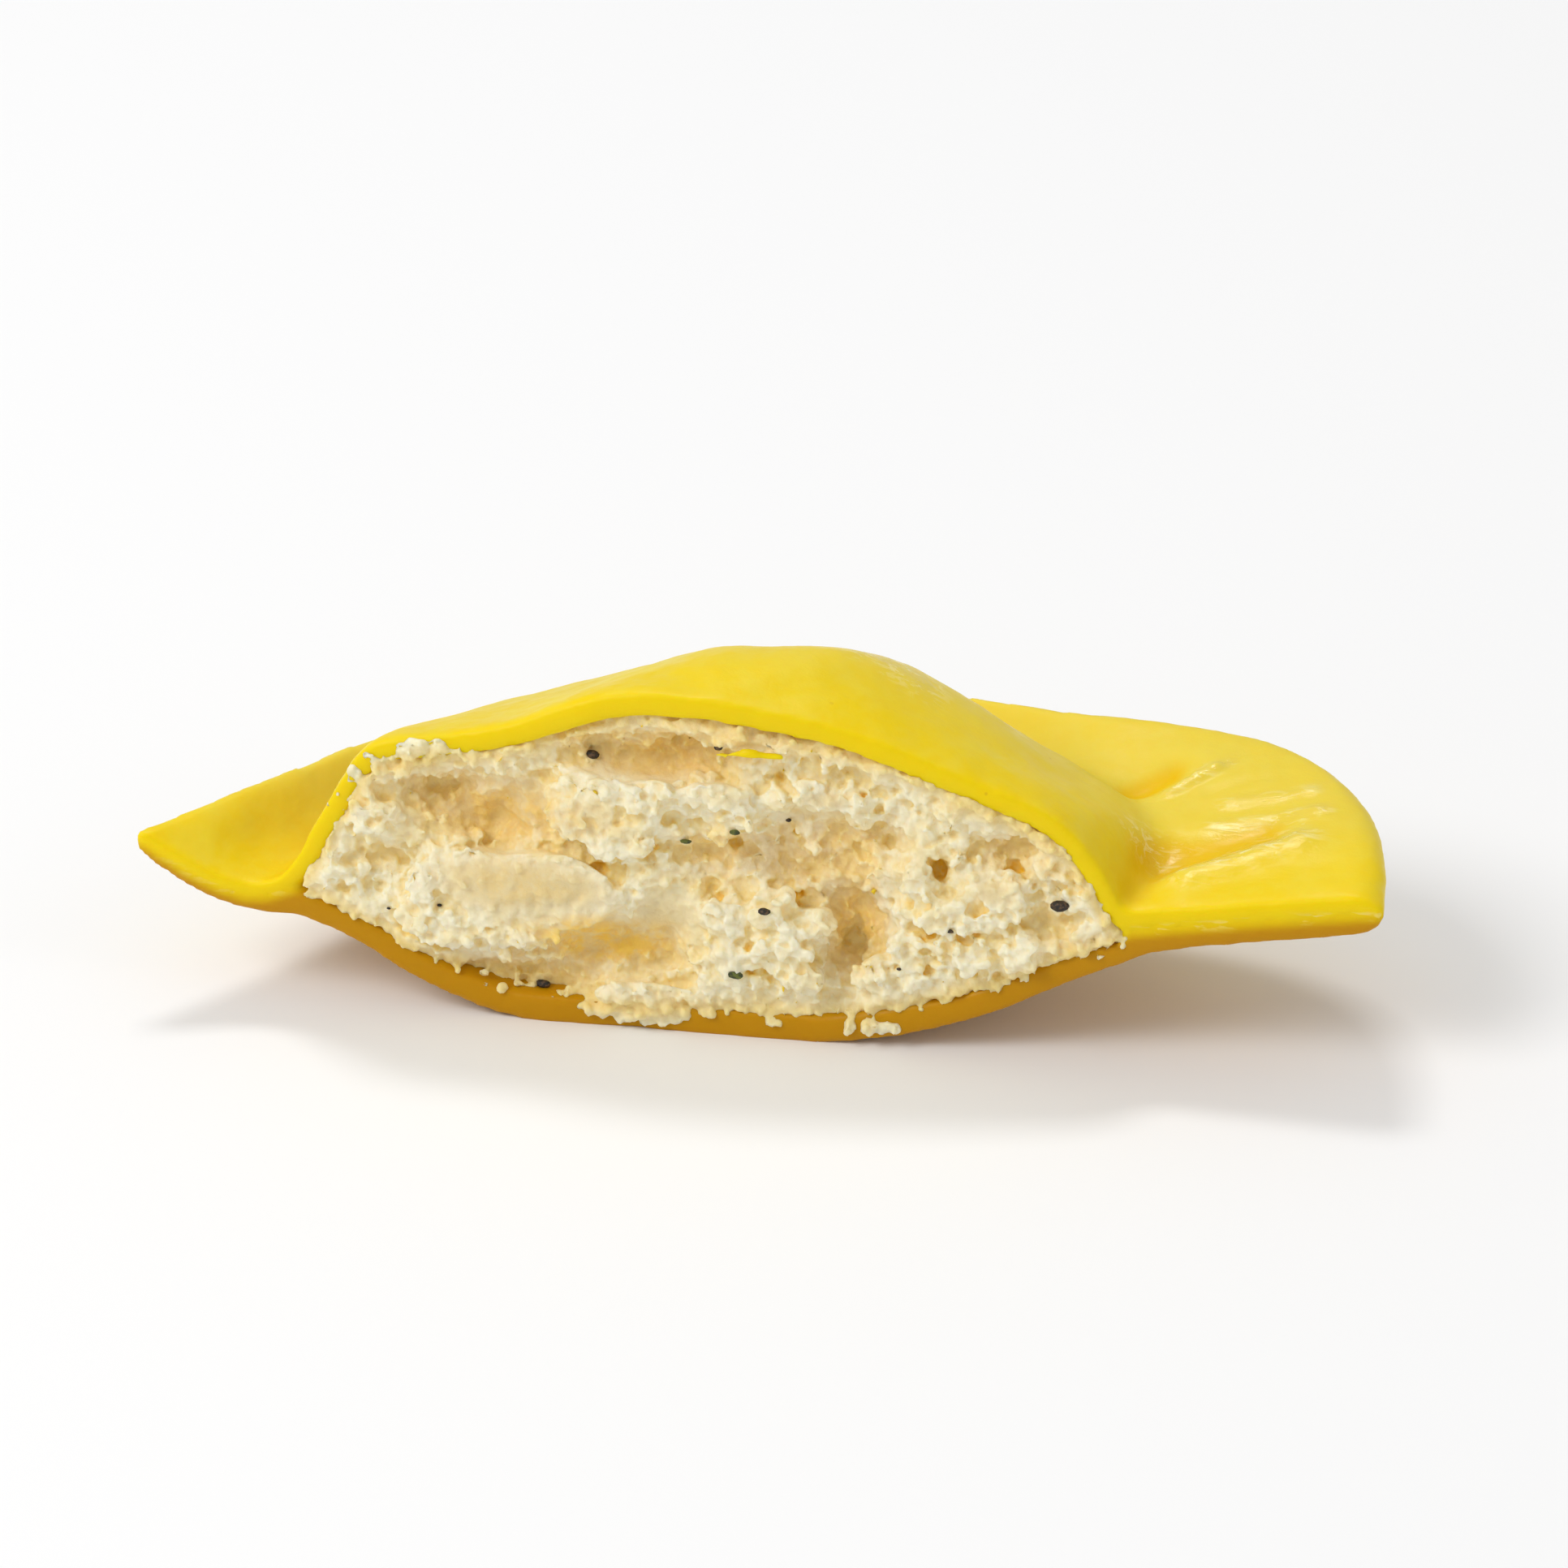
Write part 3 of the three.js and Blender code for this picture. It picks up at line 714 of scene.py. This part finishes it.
PITS = [
    (-11.4, 10.3, 0.6, 0.45, 1.0),
    (-12.6, 11.4, 0.6, 0.3, 0.6),
    (-5.4, 14.2, 0.6, 0.3, 0.8),
    (-2.6, 12.3, 1.8, 0.7, 0.5),
    (2.6, 14.6, 0.7, 0.6, 0.4),
    (8.4, 13.0, 0.22, 1.1, 0.7),
    (12.0, 10.4, 0.55, 0.4, 0.5),
    (6.2, 6.8, 0.7, 1.2, 0.6),
    (5.2, 9.6, 0.6, 1.4, 0.4),
    (-17.0, 3.2, 1.2, 0.4, 0.8),
    (-13.6, 3.0, 2.6, 0.35, 0.8),
    (17.6, 9.6, 0.5, 1.2, 0.4),
    (16.8, 4.8, 2.2, 0.25, 0.5),
    (13.6, 15.0, 1.0, 0.4, 0.4),
    (3.8, 11.4, 0.7, 0.9, 0.4),
]
PIT_EDGE = 3
press_in(filling, PITS, PIT_EDGE)

# Under the upper sheet the face lies a little back

TOP_SETBACK = 0.9 * MM
TOP_REACH = 1.1 * MM
SETBACK_FROM, SETBACK_TO = -15, 9
SETBACK_FADE = 3
FRONT_BEHIND = (1 * MM, 4 * MM)
SHEET_TOUCH = 0.2 * MM
FREE_CORE, MOST_CORE = 0.2 * MM, 1.1 * MM


def top_setback(across):
    share = rise(across, SETBACK_FROM, SETBACK_FROM + SETBACK_FADE)
    share = share * (1 - rise(across, SETBACK_TO - SETBACK_FADE, SETBACK_TO))
    return TOP_SETBACK * share


points = read_points(filling)
across, up = seen_place(points)
in_front = 1 - behind_cut(points, *FRONT_BEHIND)
below_sheet = np.interp(points[:, 0], over_x, over_z) - points[:, 2]
points[:, 1] += top_setback(across) * (1 - rise(below_sheet, SHEET_TOUCH, TOP_REACH)) * in_front
write_points(filling, points)
hold_back(filling, FREE_CORE, MOST_CORE)

# Crags where it broke, but not where it was pressed smooth: across, up, half sizes and share

SMOOTH_PATCHES = [
    (-15.0, 8.6, 4.4, 2.0, 1),
    (-11.6, 8.6, 2.8, 1.4, 1),
    (-15.5, 13.6, 4.6, 1.5, 0.75),
    (-9.4, 5.6, 3.8, 1.5, 1),
    (-5.4, 7.4, 1.8, 1.6, 1),
    (-9.4, 13.6, 1.4, 1.0, 0.6),
    (-6.0, 17.6, 4.0, 0.8, 0.7),
    (4.6, 16.1, 1.3, 0.5, 1),
    (14.6, 10.6, 1.0, 0.8, 1),
]
SMOOTH_EDGE = 4
CRAG_SIZE, CRAGS = 1.7 * MM, 1.3 * MM
CRAG_TILTS = (0.1, 0.6)
PRESSED_SHARE = 0.75
facing = rise(-read_points(filling, "normal")[:, 1], *CRAG_TILTS)
pressed = PRESSED_SHARE * patch_share(SMOOTH_PATCHES, *seen_place(points), SMOOTH_EDGE)
weigh(filling, "rugged", (1 - pressed) * in_front * facing)
crags = noise_texture("crags", "CLOUDS", CRAG_SIZE, noise_depth=1)
finish_with(
    filling, "DISPLACE", texture=crags, strength=CRAGS, mid_level=0.5, vertex_group="rugged"
)

# Knobs of curd on the lumps: across, up, half width, half height, largest radius

CLUSTERS = [
    (-9.2, 14.2, 3.6, 2.4, 0.85),
    (-12.0, 12.8, 1.6, 1.6, 0.75),
    (-3.2, 16.0, 3.0, 1.2, 0.8),
    (-8.0, 11.4, 2.6, 0.7, 0.75),
    (2.2, 16.4, 2.2, 0.8, 0.7),
    (5.4, 16.4, 2.6, 1.0, 0.8),
    (9.8, 15.8, 3.0, 1.2, 0.6),
    (13.0, 13.6, 2.4, 1.0, 0.7),
    (0.6, 13.6, 2.2, 1.9, 0.65),
    (-0.6, 7.8, 2.8, 1.2, 0.8),
    (2.6, 7.8, 2.4, 1.6, 0.9),
    (1.4, 5.0, 3.2, 1.8, 0.9),
    (3.0, 3.4, 2.2, 1.2, 0.8),
    (10.2, 11.4, 1.0, 1.8, 0.7),
    (12.2, 8.6, 3.2, 1.1, 0.8),
    (15.2, 10.4, 2.2, 1.9, 0.7),
    (12.6, 6.2, 3.6, 1.3, 0.9),
    (9.0, 5.2, 2.4, 1.6, 0.8),
    (16.6, 6.6, 1.9, 1.4, 0.8),
    (18.2, 11.6, 1.8, 1.8, 0.6),
    (20.0, 8.4, 1.8, 1.0, 0.65),
    (-23.8, 12.8, 1.6, 1.4, 0.8),
    (-24.8, 9.2, 1.8, 1.4, 0.7),
    (-21.4, 8.4, 1.8, 2.0, 0.8),
    (-20.2, 5.4, 1.8, 1.4, 0.85),
    (-17.4, 11.2, 2.6, 0.6, 0.8),
    (-21.4, 16.4, 2.6, 0.9, 0.65),
    (-16.8, 17.0, 2.4, 0.9, 0.55),
    (-14.6, 4.5, 2.8, 0.8, 0.8),
    (-17.0, 4.9, 1.2, 0.7, 0.7),
    (-8.2, 8.6, 1.8, 0.6, 0.75),
    (-6.6, 1.9, 4.0, 0.8, 0.75),
    (-3.6, 3.6, 1.6, 1.0, 0.6),
    (-9.9, 18.6, 0.7, 0.5, 0.7),
    (-1.0, 12.8, 1.8, 1.4, 0.6),
    (3.6, 13.0, 1.5, 1.6, 0.65),
    (-4.4, 11.0, 1.3, 1.0, 0.6),
    (2.0, 10.6, 2.0, 0.8, 0.6),
    (7.4, 12.6, 1.3, 1.8, 0.5),
    (-18.6, 14.0, 2.6, 1.4, 0.55),
    (-14.6, 12.4, 2.4, 0.8, 0.5),
    (-5.4, 19.4, 1.8, 0.5, 0.5),
    (-0.4, 18.4, 2.4, 0.6, 0.55),
]
KNOBS_PER_AREA = 4.0
KNOB_SIZES = (0.4, 1)
KNOB_SINK = (-0.4, 0.3)


def random_spot(middle_x, middle_z, half_width, half_height):
    """A random place in an oval patch: across and up."""
    turn = chance.uniform(0, 2 * math.pi)
    reach = math.sqrt(chance.uniform(0, 1))
    across = middle_x + half_width * reach * math.cos(turn)
    up = middle_z + half_height * reach * math.sin(turn)
    return across, up


lump_tree = tree_of(filling)
knobs = []
for *patch, largest in CLUSTERS:
    for number in range(round(KNOBS_PER_AREA * patch[2] * patch[3])):
        across, up = random_spot(*patch)
        radius = largest * chance.uniform(*KNOB_SIZES) * MM
        hit, normal = face_spot(lump_tree, across, up)
        if hit is None or chance.uniform() < patch_share(SMOOTH_PATCHES, across, up, SMOOTH_EDGE):
            continue
        knobs.append((hit + normal * radius * chance.uniform(*KNOB_SINK), radius))
filling = joined("filling_knobs", filling, curd_mesh("knobs", knobs))

# Crumbs, the size of semolina up to a peppercorn, wherever the face is broken

CRUMB_TRIES = 5600
CRUMB_RADII = (0.2, 0.46)
BARE_SHARE = 0.28
FACE_SPAN = ((-28, 24), (0, 21))
FACING_LIMIT = -0.3
CRUMB_SINK = (-0.45, 0.35)
CROWDED_PATCHES = [(*cluster[:4], 1) for cluster in CLUSTERS]
knob_tree = tree_of(filling)
curds = []
for number in range(CRUMB_TRIES):
    across, up = chance.uniform(*FACE_SPAN[0]), chance.uniform(*FACE_SPAN[1])
    radius = (CRUMB_RADII[0] + (CRUMB_RADII[1] - CRUMB_RADII[0]) * chance.uniform() ** 2) * MM
    crowded = BARE_SHARE + patch_share(CROWDED_PATCHES, across, up, SMOOTH_EDGE)
    crowded *= 1 - PRESSED_SHARE * patch_share(SMOOTH_PATCHES, across, up, SMOOTH_EDGE)
    hit, normal = face_spot(knob_tree, across, up)
    if hit is not None and normal.y < FACING_LIMIT and chance.uniform() < crowded:
        curds.append((hit + normal * radius * chance.uniform(*CRUMB_SINK), radius))

# Crumbs wedged between the filling and the sheets, all round the face

EDGE_CRUMBS = 260
EDGE_RADII = (0.22, 0.46)
EDGE_PAST = 0.4 * MM
EDGE_BEHIND = 0.9
EDGE_INWARD = (-0.4, 1.6)
EDGE_STEPS = 400
pocket_x = np.linspace(fill_low.x - EDGE_PAST, fill_high.x + EDGE_PAST, EDGE_STEPS)
for line_x, line_z, inward, set_back in ((over_x, over_z, -1, 1), (under_x, under_z, 1, 0)):
    pocket_z = np.interp(pocket_x, line_x, line_z)
    along = np.cumsum(np.hypot(np.gradient(pocket_x), np.gradient(pocket_z)))
    for run in chance.uniform(along[0], along[-1], size=EDGE_CRUMBS // 2):
        x, z = np.interp(run, along, pocket_x), np.interp(run, along, pocket_z)
        radius = chance.uniform(*EDGE_RADII) * MM
        behind = chance.uniform(0, EDGE_BEHIND) * MM
        y = cut_y + behind + set_back * top_setback((x - cut_middle_x) / MM)
        curds.append(((x, y, z + inward * chance.uniform(*EDGE_INWARD) * radius), radius))

# Crumbs dragged over the cut edges: across, up, half width, half height, how many, largest radius

DRAGGED = [
    (-20.0, 17.5, 2.0, 0.7, 60, 0.5),
    (-22.8, 16.6, 1.6, 0.5, 24, 0.4),
    (-24.8, 15.6, 1.2, 0.5, 14, 0.4),
    (-26.2, 14.2, 0.6, 1.0, 7, 0.36),
    (-6.9, 0.9, 2.6, 0.7, 30, 1.0),
    (-6.8, 0.6, 3.0, 0.8, 120, 0.45),
    (-9.6, 0.6, 1.3, 0.5, 26, 0.5),
    (-4.2, 1.1, 1.6, 0.7, 34, 0.5),
    (1.4, 0.5, 0.6, 0.2, 6, 0.4),
    (7.2, 0.7, 1.6, 0.3, 16, 0.6),
    (-19.4, 4.3, 1.2, 0.5, 12, 0.4),
    (-25.4, 7.6, 1.0, 0.5, 12, 0.4),
    (20.2, 6.9, 1.4, 0.4, 12, 0.4),
    (22.4, 8.0, 0.6, 0.4, 8, 0.3),
]
DRAGGED_SIZES = (0.4, 1)
DRAGGED_DEPTH = 3 * MM
DRAGGED_SINK = (-0.3, 0.3)
FREE_CURD, MOST_CURD = 0.9 * MM, 1.7 * MM
dough_tree = tree_of(dough)
for *patch, how_many, largest in DRAGGED:
    for number in range(how_many):
        across, up = random_spot(*patch)
        radius = largest * chance.uniform(*DRAGGED_SIZES) * MM
        hit, normal = face_spot(dough_tree, across, up, DRAGGED_DEPTH)
        if hit is not None:
            curds.append((hit + normal * radius * chance.uniform(*DRAGGED_SINK), radius))
filling = joined("filling_curds", filling, curd_mesh("curds", curds))
finish_with(filling, "REMESH", mode="VOXEL", voxel_size=CURD_VOXEL, use_smooth_shade=True)
finish_with(filling, "SMOOTH", factor=SMOOTH_FACTOR, iterations=CHEESE_SMOOTHINGS)
hold_back(filling, FREE_CURD, MOST_CURD)

# Fine relief, less of it where the cheese is smooth: kind, size, depth, middle, where

RELIEF = [
    ("uneven", "CLOUDS", 0.7 * MM, {"noise_depth": 2}, 0.3 * MM, 0.5, "front"),
    ("curdled", "VORONOI", 0.8 * MM, {"noise_intensity": 1.2}, -0.34 * MM, 0.45, "rough"),
    ("finer", "VORONOI", 0.42 * MM, {"noise_intensity": 1.2}, -0.14 * MM, 0.45, "rough"),
]
RELIEF_TILTS = (-0.2, 0.4)
RELIEF_FADE = 2 * MM
SMOOTH_SHARE = 0.9
points = read_points(filling)
in_front = 1 - rise(points[:, 1], cut_y + FACE_DEPTH - RELIEF_FADE, cut_y + FACE_DEPTH)
facing = rise(-read_points(filling, "normal")[:, 1], *RELIEF_TILTS)
smooth = SMOOTH_SHARE * patch_share(SMOOTH_PATCHES, *seen_place(points), SMOOTH_EDGE)
weigh(filling, "front", in_front * facing)
weigh(filling, "rough", (1 - smooth) * in_front * facing)
for name, kind, size, settings, depth, level, where in RELIEF:
    relief = noise_texture(name, kind, size, **settings)
    finish_with(
        filling, "DISPLACE", texture=relief, strength=depth, mid_level=level, vertex_group=where
    )

# What the sheets hide needs no such detail

KEPT_SHARE = 0.2
MOST_TRIANGLES = 195000
HIDDEN_FROM = 1.5 * MM
MOST_STRAY = 0.08 * MM
CLEAR_BY = 0.1
whole_tree = tree_of(filling)
points = read_points(filling)
back_share = points[:, 1] > cut_y + FACE_DEPTH
for index in np.flatnonzero(~back_share & (points[:, 1] > cut_y + HIDDEN_FROM)):
    start = Vector(points[index]) + backward * CLEAR_BY * MM
    back_share[index] = dough_tree.ray_cast(start, backward)[0] is not None
weigh(filling, "hidden", back_share)
finish_with(
    filling, "DECIMATE", ratio=KEPT_SHARE, vertex_group="hidden", use_collapse_triangulate=True
)
kept = min(1, MOST_TRIANGLES / len(filling.data.polygons))
finish_with(filling, "DECIMATE", ratio=kept, use_collapse_triangulate=True)

# Thinning throws a few points off, so they go back to the surface they came from

points = read_points(filling)
for index in np.flatnonzero(points[:, 1] > cut_y + HIDDEN_FROM):
    nearest, _, _, stray = whole_tree.find_nearest(Vector(points[index]))
    if stray > MOST_STRAY:
        points[index] = nearest
write_points(filling, points)

filling.name = "ricotta"

# How enclosed each spot is, by short rays to all sides, for the painted warm shade in pits

LOOK_OUT = 1.5 * MM
RIM_MIDDLE = 0.2 * MM
RIM_REACH = 0.9 * MM
LOOKS = 14
LOOK_CLEAR = 0.04
RECESS_SHADE_BEHIND = (0.4 * MM, 2.6 * MM)
points = read_points(filling)
normals = read_points(filling, "normal")
golden = math.pi * (3 - math.sqrt(5))
ways = []
for number in range(LOOKS):
    lean = 1 - (number + 0.5) / LOOKS
    ring = math.sqrt(1 - lean * lean)
    ways.append((ring * math.cos(golden * number), ring * math.sin(golden * number), lean))
closed_tree = tree_of(filling)
enclosed = np.zeros(len(points))
for index in np.flatnonzero(points[:, 1] < cut_y + FACE_DEPTH):
    normal = Vector(normals[index])
    side = normal.orthogonal().normalized()
    other = normal.cross(side)
    start = Vector(points[index]) + normal * LOOK_CLEAR * MM
    blocked = 0
    for a, b, c in ways:
        way = side * a + other * b + normal * c
        if closed_tree.ray_cast(start, way, LOOK_OUT)[0] is not None:
            blocked += 1
    enclosed[index] = blocked / LOOKS
paint(filling, "even", patch_share(SMOOTH_PATCHES, *seen_place(points), SMOOTH_EDGE))
paint(filling, "pit_shade", enclosed)
# painted shade: the cheese turns darker beige the further it lies behind the cut
paint(filling, "recess_shade", behind_cut(points, *RECESS_SHADE_BEHIND))
# painted yellow light, bounced from the dough onto the cheese next to the sheets
over_here = np.interp(points[:, 0], over_x, over_z) - points[:, 2]
under_here = points[:, 2] - np.interp(points[:, 0], under_x, under_z)
from_rim = np.minimum(over_here, under_here) - RIM_MIDDLE
paint(filling, "dough_bounce", np.exp(-((from_rim / RIM_REACH) ** 2)))

# Painted warm light, shining through where it lies deep: across, up, half width, half height,
# share

WARM_GLOW_PATCHES = [
    (-14.6, 8.8, 4.6, 1.7, 0.3),
    (-9.0, 13.4, 2.2, 1.4, 0.15),
    (-15.5, 13.6, 6.0, 2.6, 0.6),
    (-6.0, 18.0, 5.6, 1.2, 0.5),
    (-9.0, 5.2, 5.2, 1.7, 1.0),
    (-6.0, 19.2, 9.0, 1.2, 0.6),
    (-2.6, 12.4, 2.6, 1.4, 0.6),
    (6.0, 12.6, 3.6, 2.2, 0.5),
    (6.4, 7.4, 1.6, 3.0, 0.7),
    (16.6, 12.8, 4.0, 1.6, 0.4),
    (18.4, 8.6, 1.8, 1.6, 0.4),
    (-12.0, 3.0, 6.0, 0.9, 0.5),
    (-23.0, 10.2, 1.8, 0.8, 0.3),
    (-3.0, 10.0, 3.0, 1.0, 0.3),
]
WARM_EDGE = 3
paint(filling, "warm", patch_share(WARM_GLOW_PATCHES, *seen_place(points), WARM_EDGE))

CREAM = tint(230, 213, 166)
CURD_WHITE = tint(246, 238, 208)
RECESS_SHADE_BEIGE = tint(226, 190, 120)
DOUGH_BOUNCE_YELLOW = tint(238, 204, 96)
BUTTER = tint(242, 224, 168)
WARM_GLOW = tint(248, 204, 84)
GAP_SHADE_TINT = tint(250, 224, 152)
PIT_SHADE_TINT = tint(255, 205, 40)

fresh_cheese, tree, shader = new_material("fresh_cheese", {
    "Subsurface Weight": 0.6,
    "Subsurface Radius": (1.0, 0.85, 0.6),
    "Subsurface Scale": 0.6 * MM,
    "Specular IOR Level": 0.35,
})
place = add_node(tree, "ShaderNodeTexCoord").outputs["Object"]
pit_shade = add_mask(tree, "pit_shade")
buttery = add_patches(tree, place, 2.6 * MM, 3, 0.55, 0.5, (0.42, 0.66))
warmth = add_patches(tree, place, 1.1 * MM, 3, 0.6, 0, (0.36, 0.6), (0.3, 1))
colour = add_layers(tree, CURD_WHITE, (
    (buttery, 0.6, BUTTER),
    (add_mask(tree, "even"), 1, CREAM),
    # painted shade in the recesses
    (add_mask(tree, "recess_shade"), 0.8, RECESS_SHADE_BEIGE),
    # painted yellow light from the dough
    (add_mask(tree, "dough_bounce"), 0.6, DOUGH_BOUNCE_YELLOW),
    # painted warm light in these patches
    (add_math(tree, "MULTIPLY", add_mask(tree, "warm"), warmth), 1, WARM_GLOW),
    # painted warm shade in the gaps and pits
    (add_range(tree, pit_shade, 0.2, 0.75), 1, GAP_SHADE_TINT),
    (add_range(tree, pit_shade, 0.65, 1.0), 1, PIT_SHADE_TINT),
))
tree.links.new(colour, shader.inputs["Base Color"])
grain = add_grain(tree, place, 0.32 * MM, 0.65)
bump_links = {"Height": grain, "Strength": BUMP_STRENGTH, "Distance": BUMP_DEPTH}
bump = add_node(tree, "ShaderNodeBump", bump_links)
tree.links.new(bump.outputs["Normal"], shader.inputs["Normal"])
moist = add_patches(tree, place, 1.8 * MM, 2, 0.5, 0, (0.35, 0.65), (0.38, 0.58))
tree.links.new(moist, shader.inputs["Roughness"])

filling.data.materials.append(fresh_cheese)
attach(filling, "root")
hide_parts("filling")

# Pepper
# Black peppercorns, dried and ground coarsely, stirred into the cheese before the sheets were
# filled. Only the flecks that the broken face bares are made: across, up and half the length.

PEPPER = [
    (-9.9, 18.1, 0.5),
    (-2.1, 19.2, 0.28),
    (2.2, 14.6, 0.2),
    (0.7, 8.2, 0.4),
    (12.1, 7.8, 0.25),
    (18.8, 10.1, 0.62),
    (-13.1, 1.9, 0.5),
    (-19.4, 6.9, 0.16),
    (9.0, 4.9, 0.16),
    (-22.6, 6.4, 0.14),
]
PEPPER_SHARE = 0.6
PEPPER_OUT = 0.5
PEPPER_BLACK = tint(34, 28, 22)
HUSK_BROWN = tint(92, 68, 44)
speck_tree = tree_of(filling)
flecks_at = []
for across, up, half_length in PEPPER:
    hit, _ = face_spot(speck_tree, across, up)
    if hit is not None:
        radii = np.array((1, PEPPER_SHARE, PEPPER_SHARE)) * half_length * MM
        flecks_at.append((hit + backward * half_length * PEPPER_OUT * MM, radii))
pepper = curd_mesh("pepper", flecks_at)

ground_pepper, tree, shader = new_material("ground_pepper", {"Roughness": 0.6})
place = add_node(tree, "ShaderNodeTexCoord").outputs["Object"]
husk = add_patches(tree, place, 0.25 * MM, 2, 0.5, 0, (0.45, 0.65))
tree.links.new(add_mix(tree, husk, PEPPER_BLACK, HUSK_BROWN), shader.inputs["Base Color"])

pepper.data.materials.append(ground_pepper)
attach(pepper, "root")

# Herbs
# Fresh parsley leaves chopped fine and mixed with the cheese, thin and a little curled. As with
# the pepper, only the bared scraps are made: across, up, half length and half width.

HERBS = [
    (-1.1, 13.5, 0.35, 0.2),
    (-4.1, 12.6, 0.4, 0.16),
    (-1.1, 3.6, 0.5, 0.3),
]
HERB_HALF_THICKNESS = 0.09
HERB_OUT = 0.2
HERB_GREEN = tint(96, 104, 30)
HERB_DARK = tint(52, 58, 22)
scraps = []
for across, up, half_length, half_width in HERBS:
    hit, _ = face_spot(speck_tree, across, up)
    if hit is not None:
        radii = np.array((half_length, HERB_HALF_THICKNESS, half_width)) * MM
        scraps.append((hit + backward * HERB_OUT * MM, radii))
herbs = curd_mesh("herbs", scraps)

chopped_herb, tree, shader = new_material("chopped_herb", {"Roughness": 0.5})
place = add_node(tree, "ShaderNodeTexCoord").outputs["Object"]
vein = add_patches(tree, place, 0.3 * MM, 2, 0.5, 0, (0.4, 0.6))
tree.links.new(add_mix(tree, vein, HERB_GREEN, HERB_DARK), shader.inputs["Base Color"])

herbs.data.materials.append(chopped_herb)
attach(herbs, "root")

# Table and studio light
# The pillow lies alone on a plain pale table, under a wide soft box, a key light from the upper
# left and a weak strip from the right.

TABLE_SIZE = 3.0
TABLE_WHITE = (0.92, 0.92, 0.92, 1)
WORLD_STRENGTH = 0.5
bpy.ops.object.select_all(action="DESELECT")
bpy.ops.mesh.primitive_plane_add(size=TABLE_SIZE, location=(0, 0, 0))
table = bpy.context.object
table.name = "table"
table_paint, tree, shader = new_material("table_paint", {
    "Base Color": TABLE_WHITE,
    "Roughness": 0.7,
    "Specular IOR Level": 0.2,
})
table.data.materials.append(table_paint)


def soft_box(name, place, size, power):
    bpy.ops.object.light_add(type="AREA", location=place)
    lamp = bpy.context.object
    lamp.name = name
    lamp.data.shape = "RECTANGLE"
    lamp.data.size, lamp.data.size_y = size
    lamp.data.energy = power
    lamp.rotation_mode = "QUATERNION"
    lamp.rotation_quaternion = (aim - Vector(place)).to_track_quat("-Z", "Y")


soft_box("overhead", (-0.15, 0.35, 0.8), (0.24, 0.15), 2.1)
soft_box("key_light", (-0.52, -0.45, 0.65), (0.4, 0.4), 4.0)
soft_box("side_strip", (0.7, -0.2, 0.4), (0.25, 0.5), 0.4)

world = bpy.data.worlds.new("studio")
world.use_nodes = True
sky = world.node_tree.nodes["Background"]
sky.inputs["Color"].default_value = (1, 1, 1, 1)
sky.inputs["Strength"].default_value = WORLD_STRENGTH
scene.world = world
scene.view_settings.view_transform = "Standard"
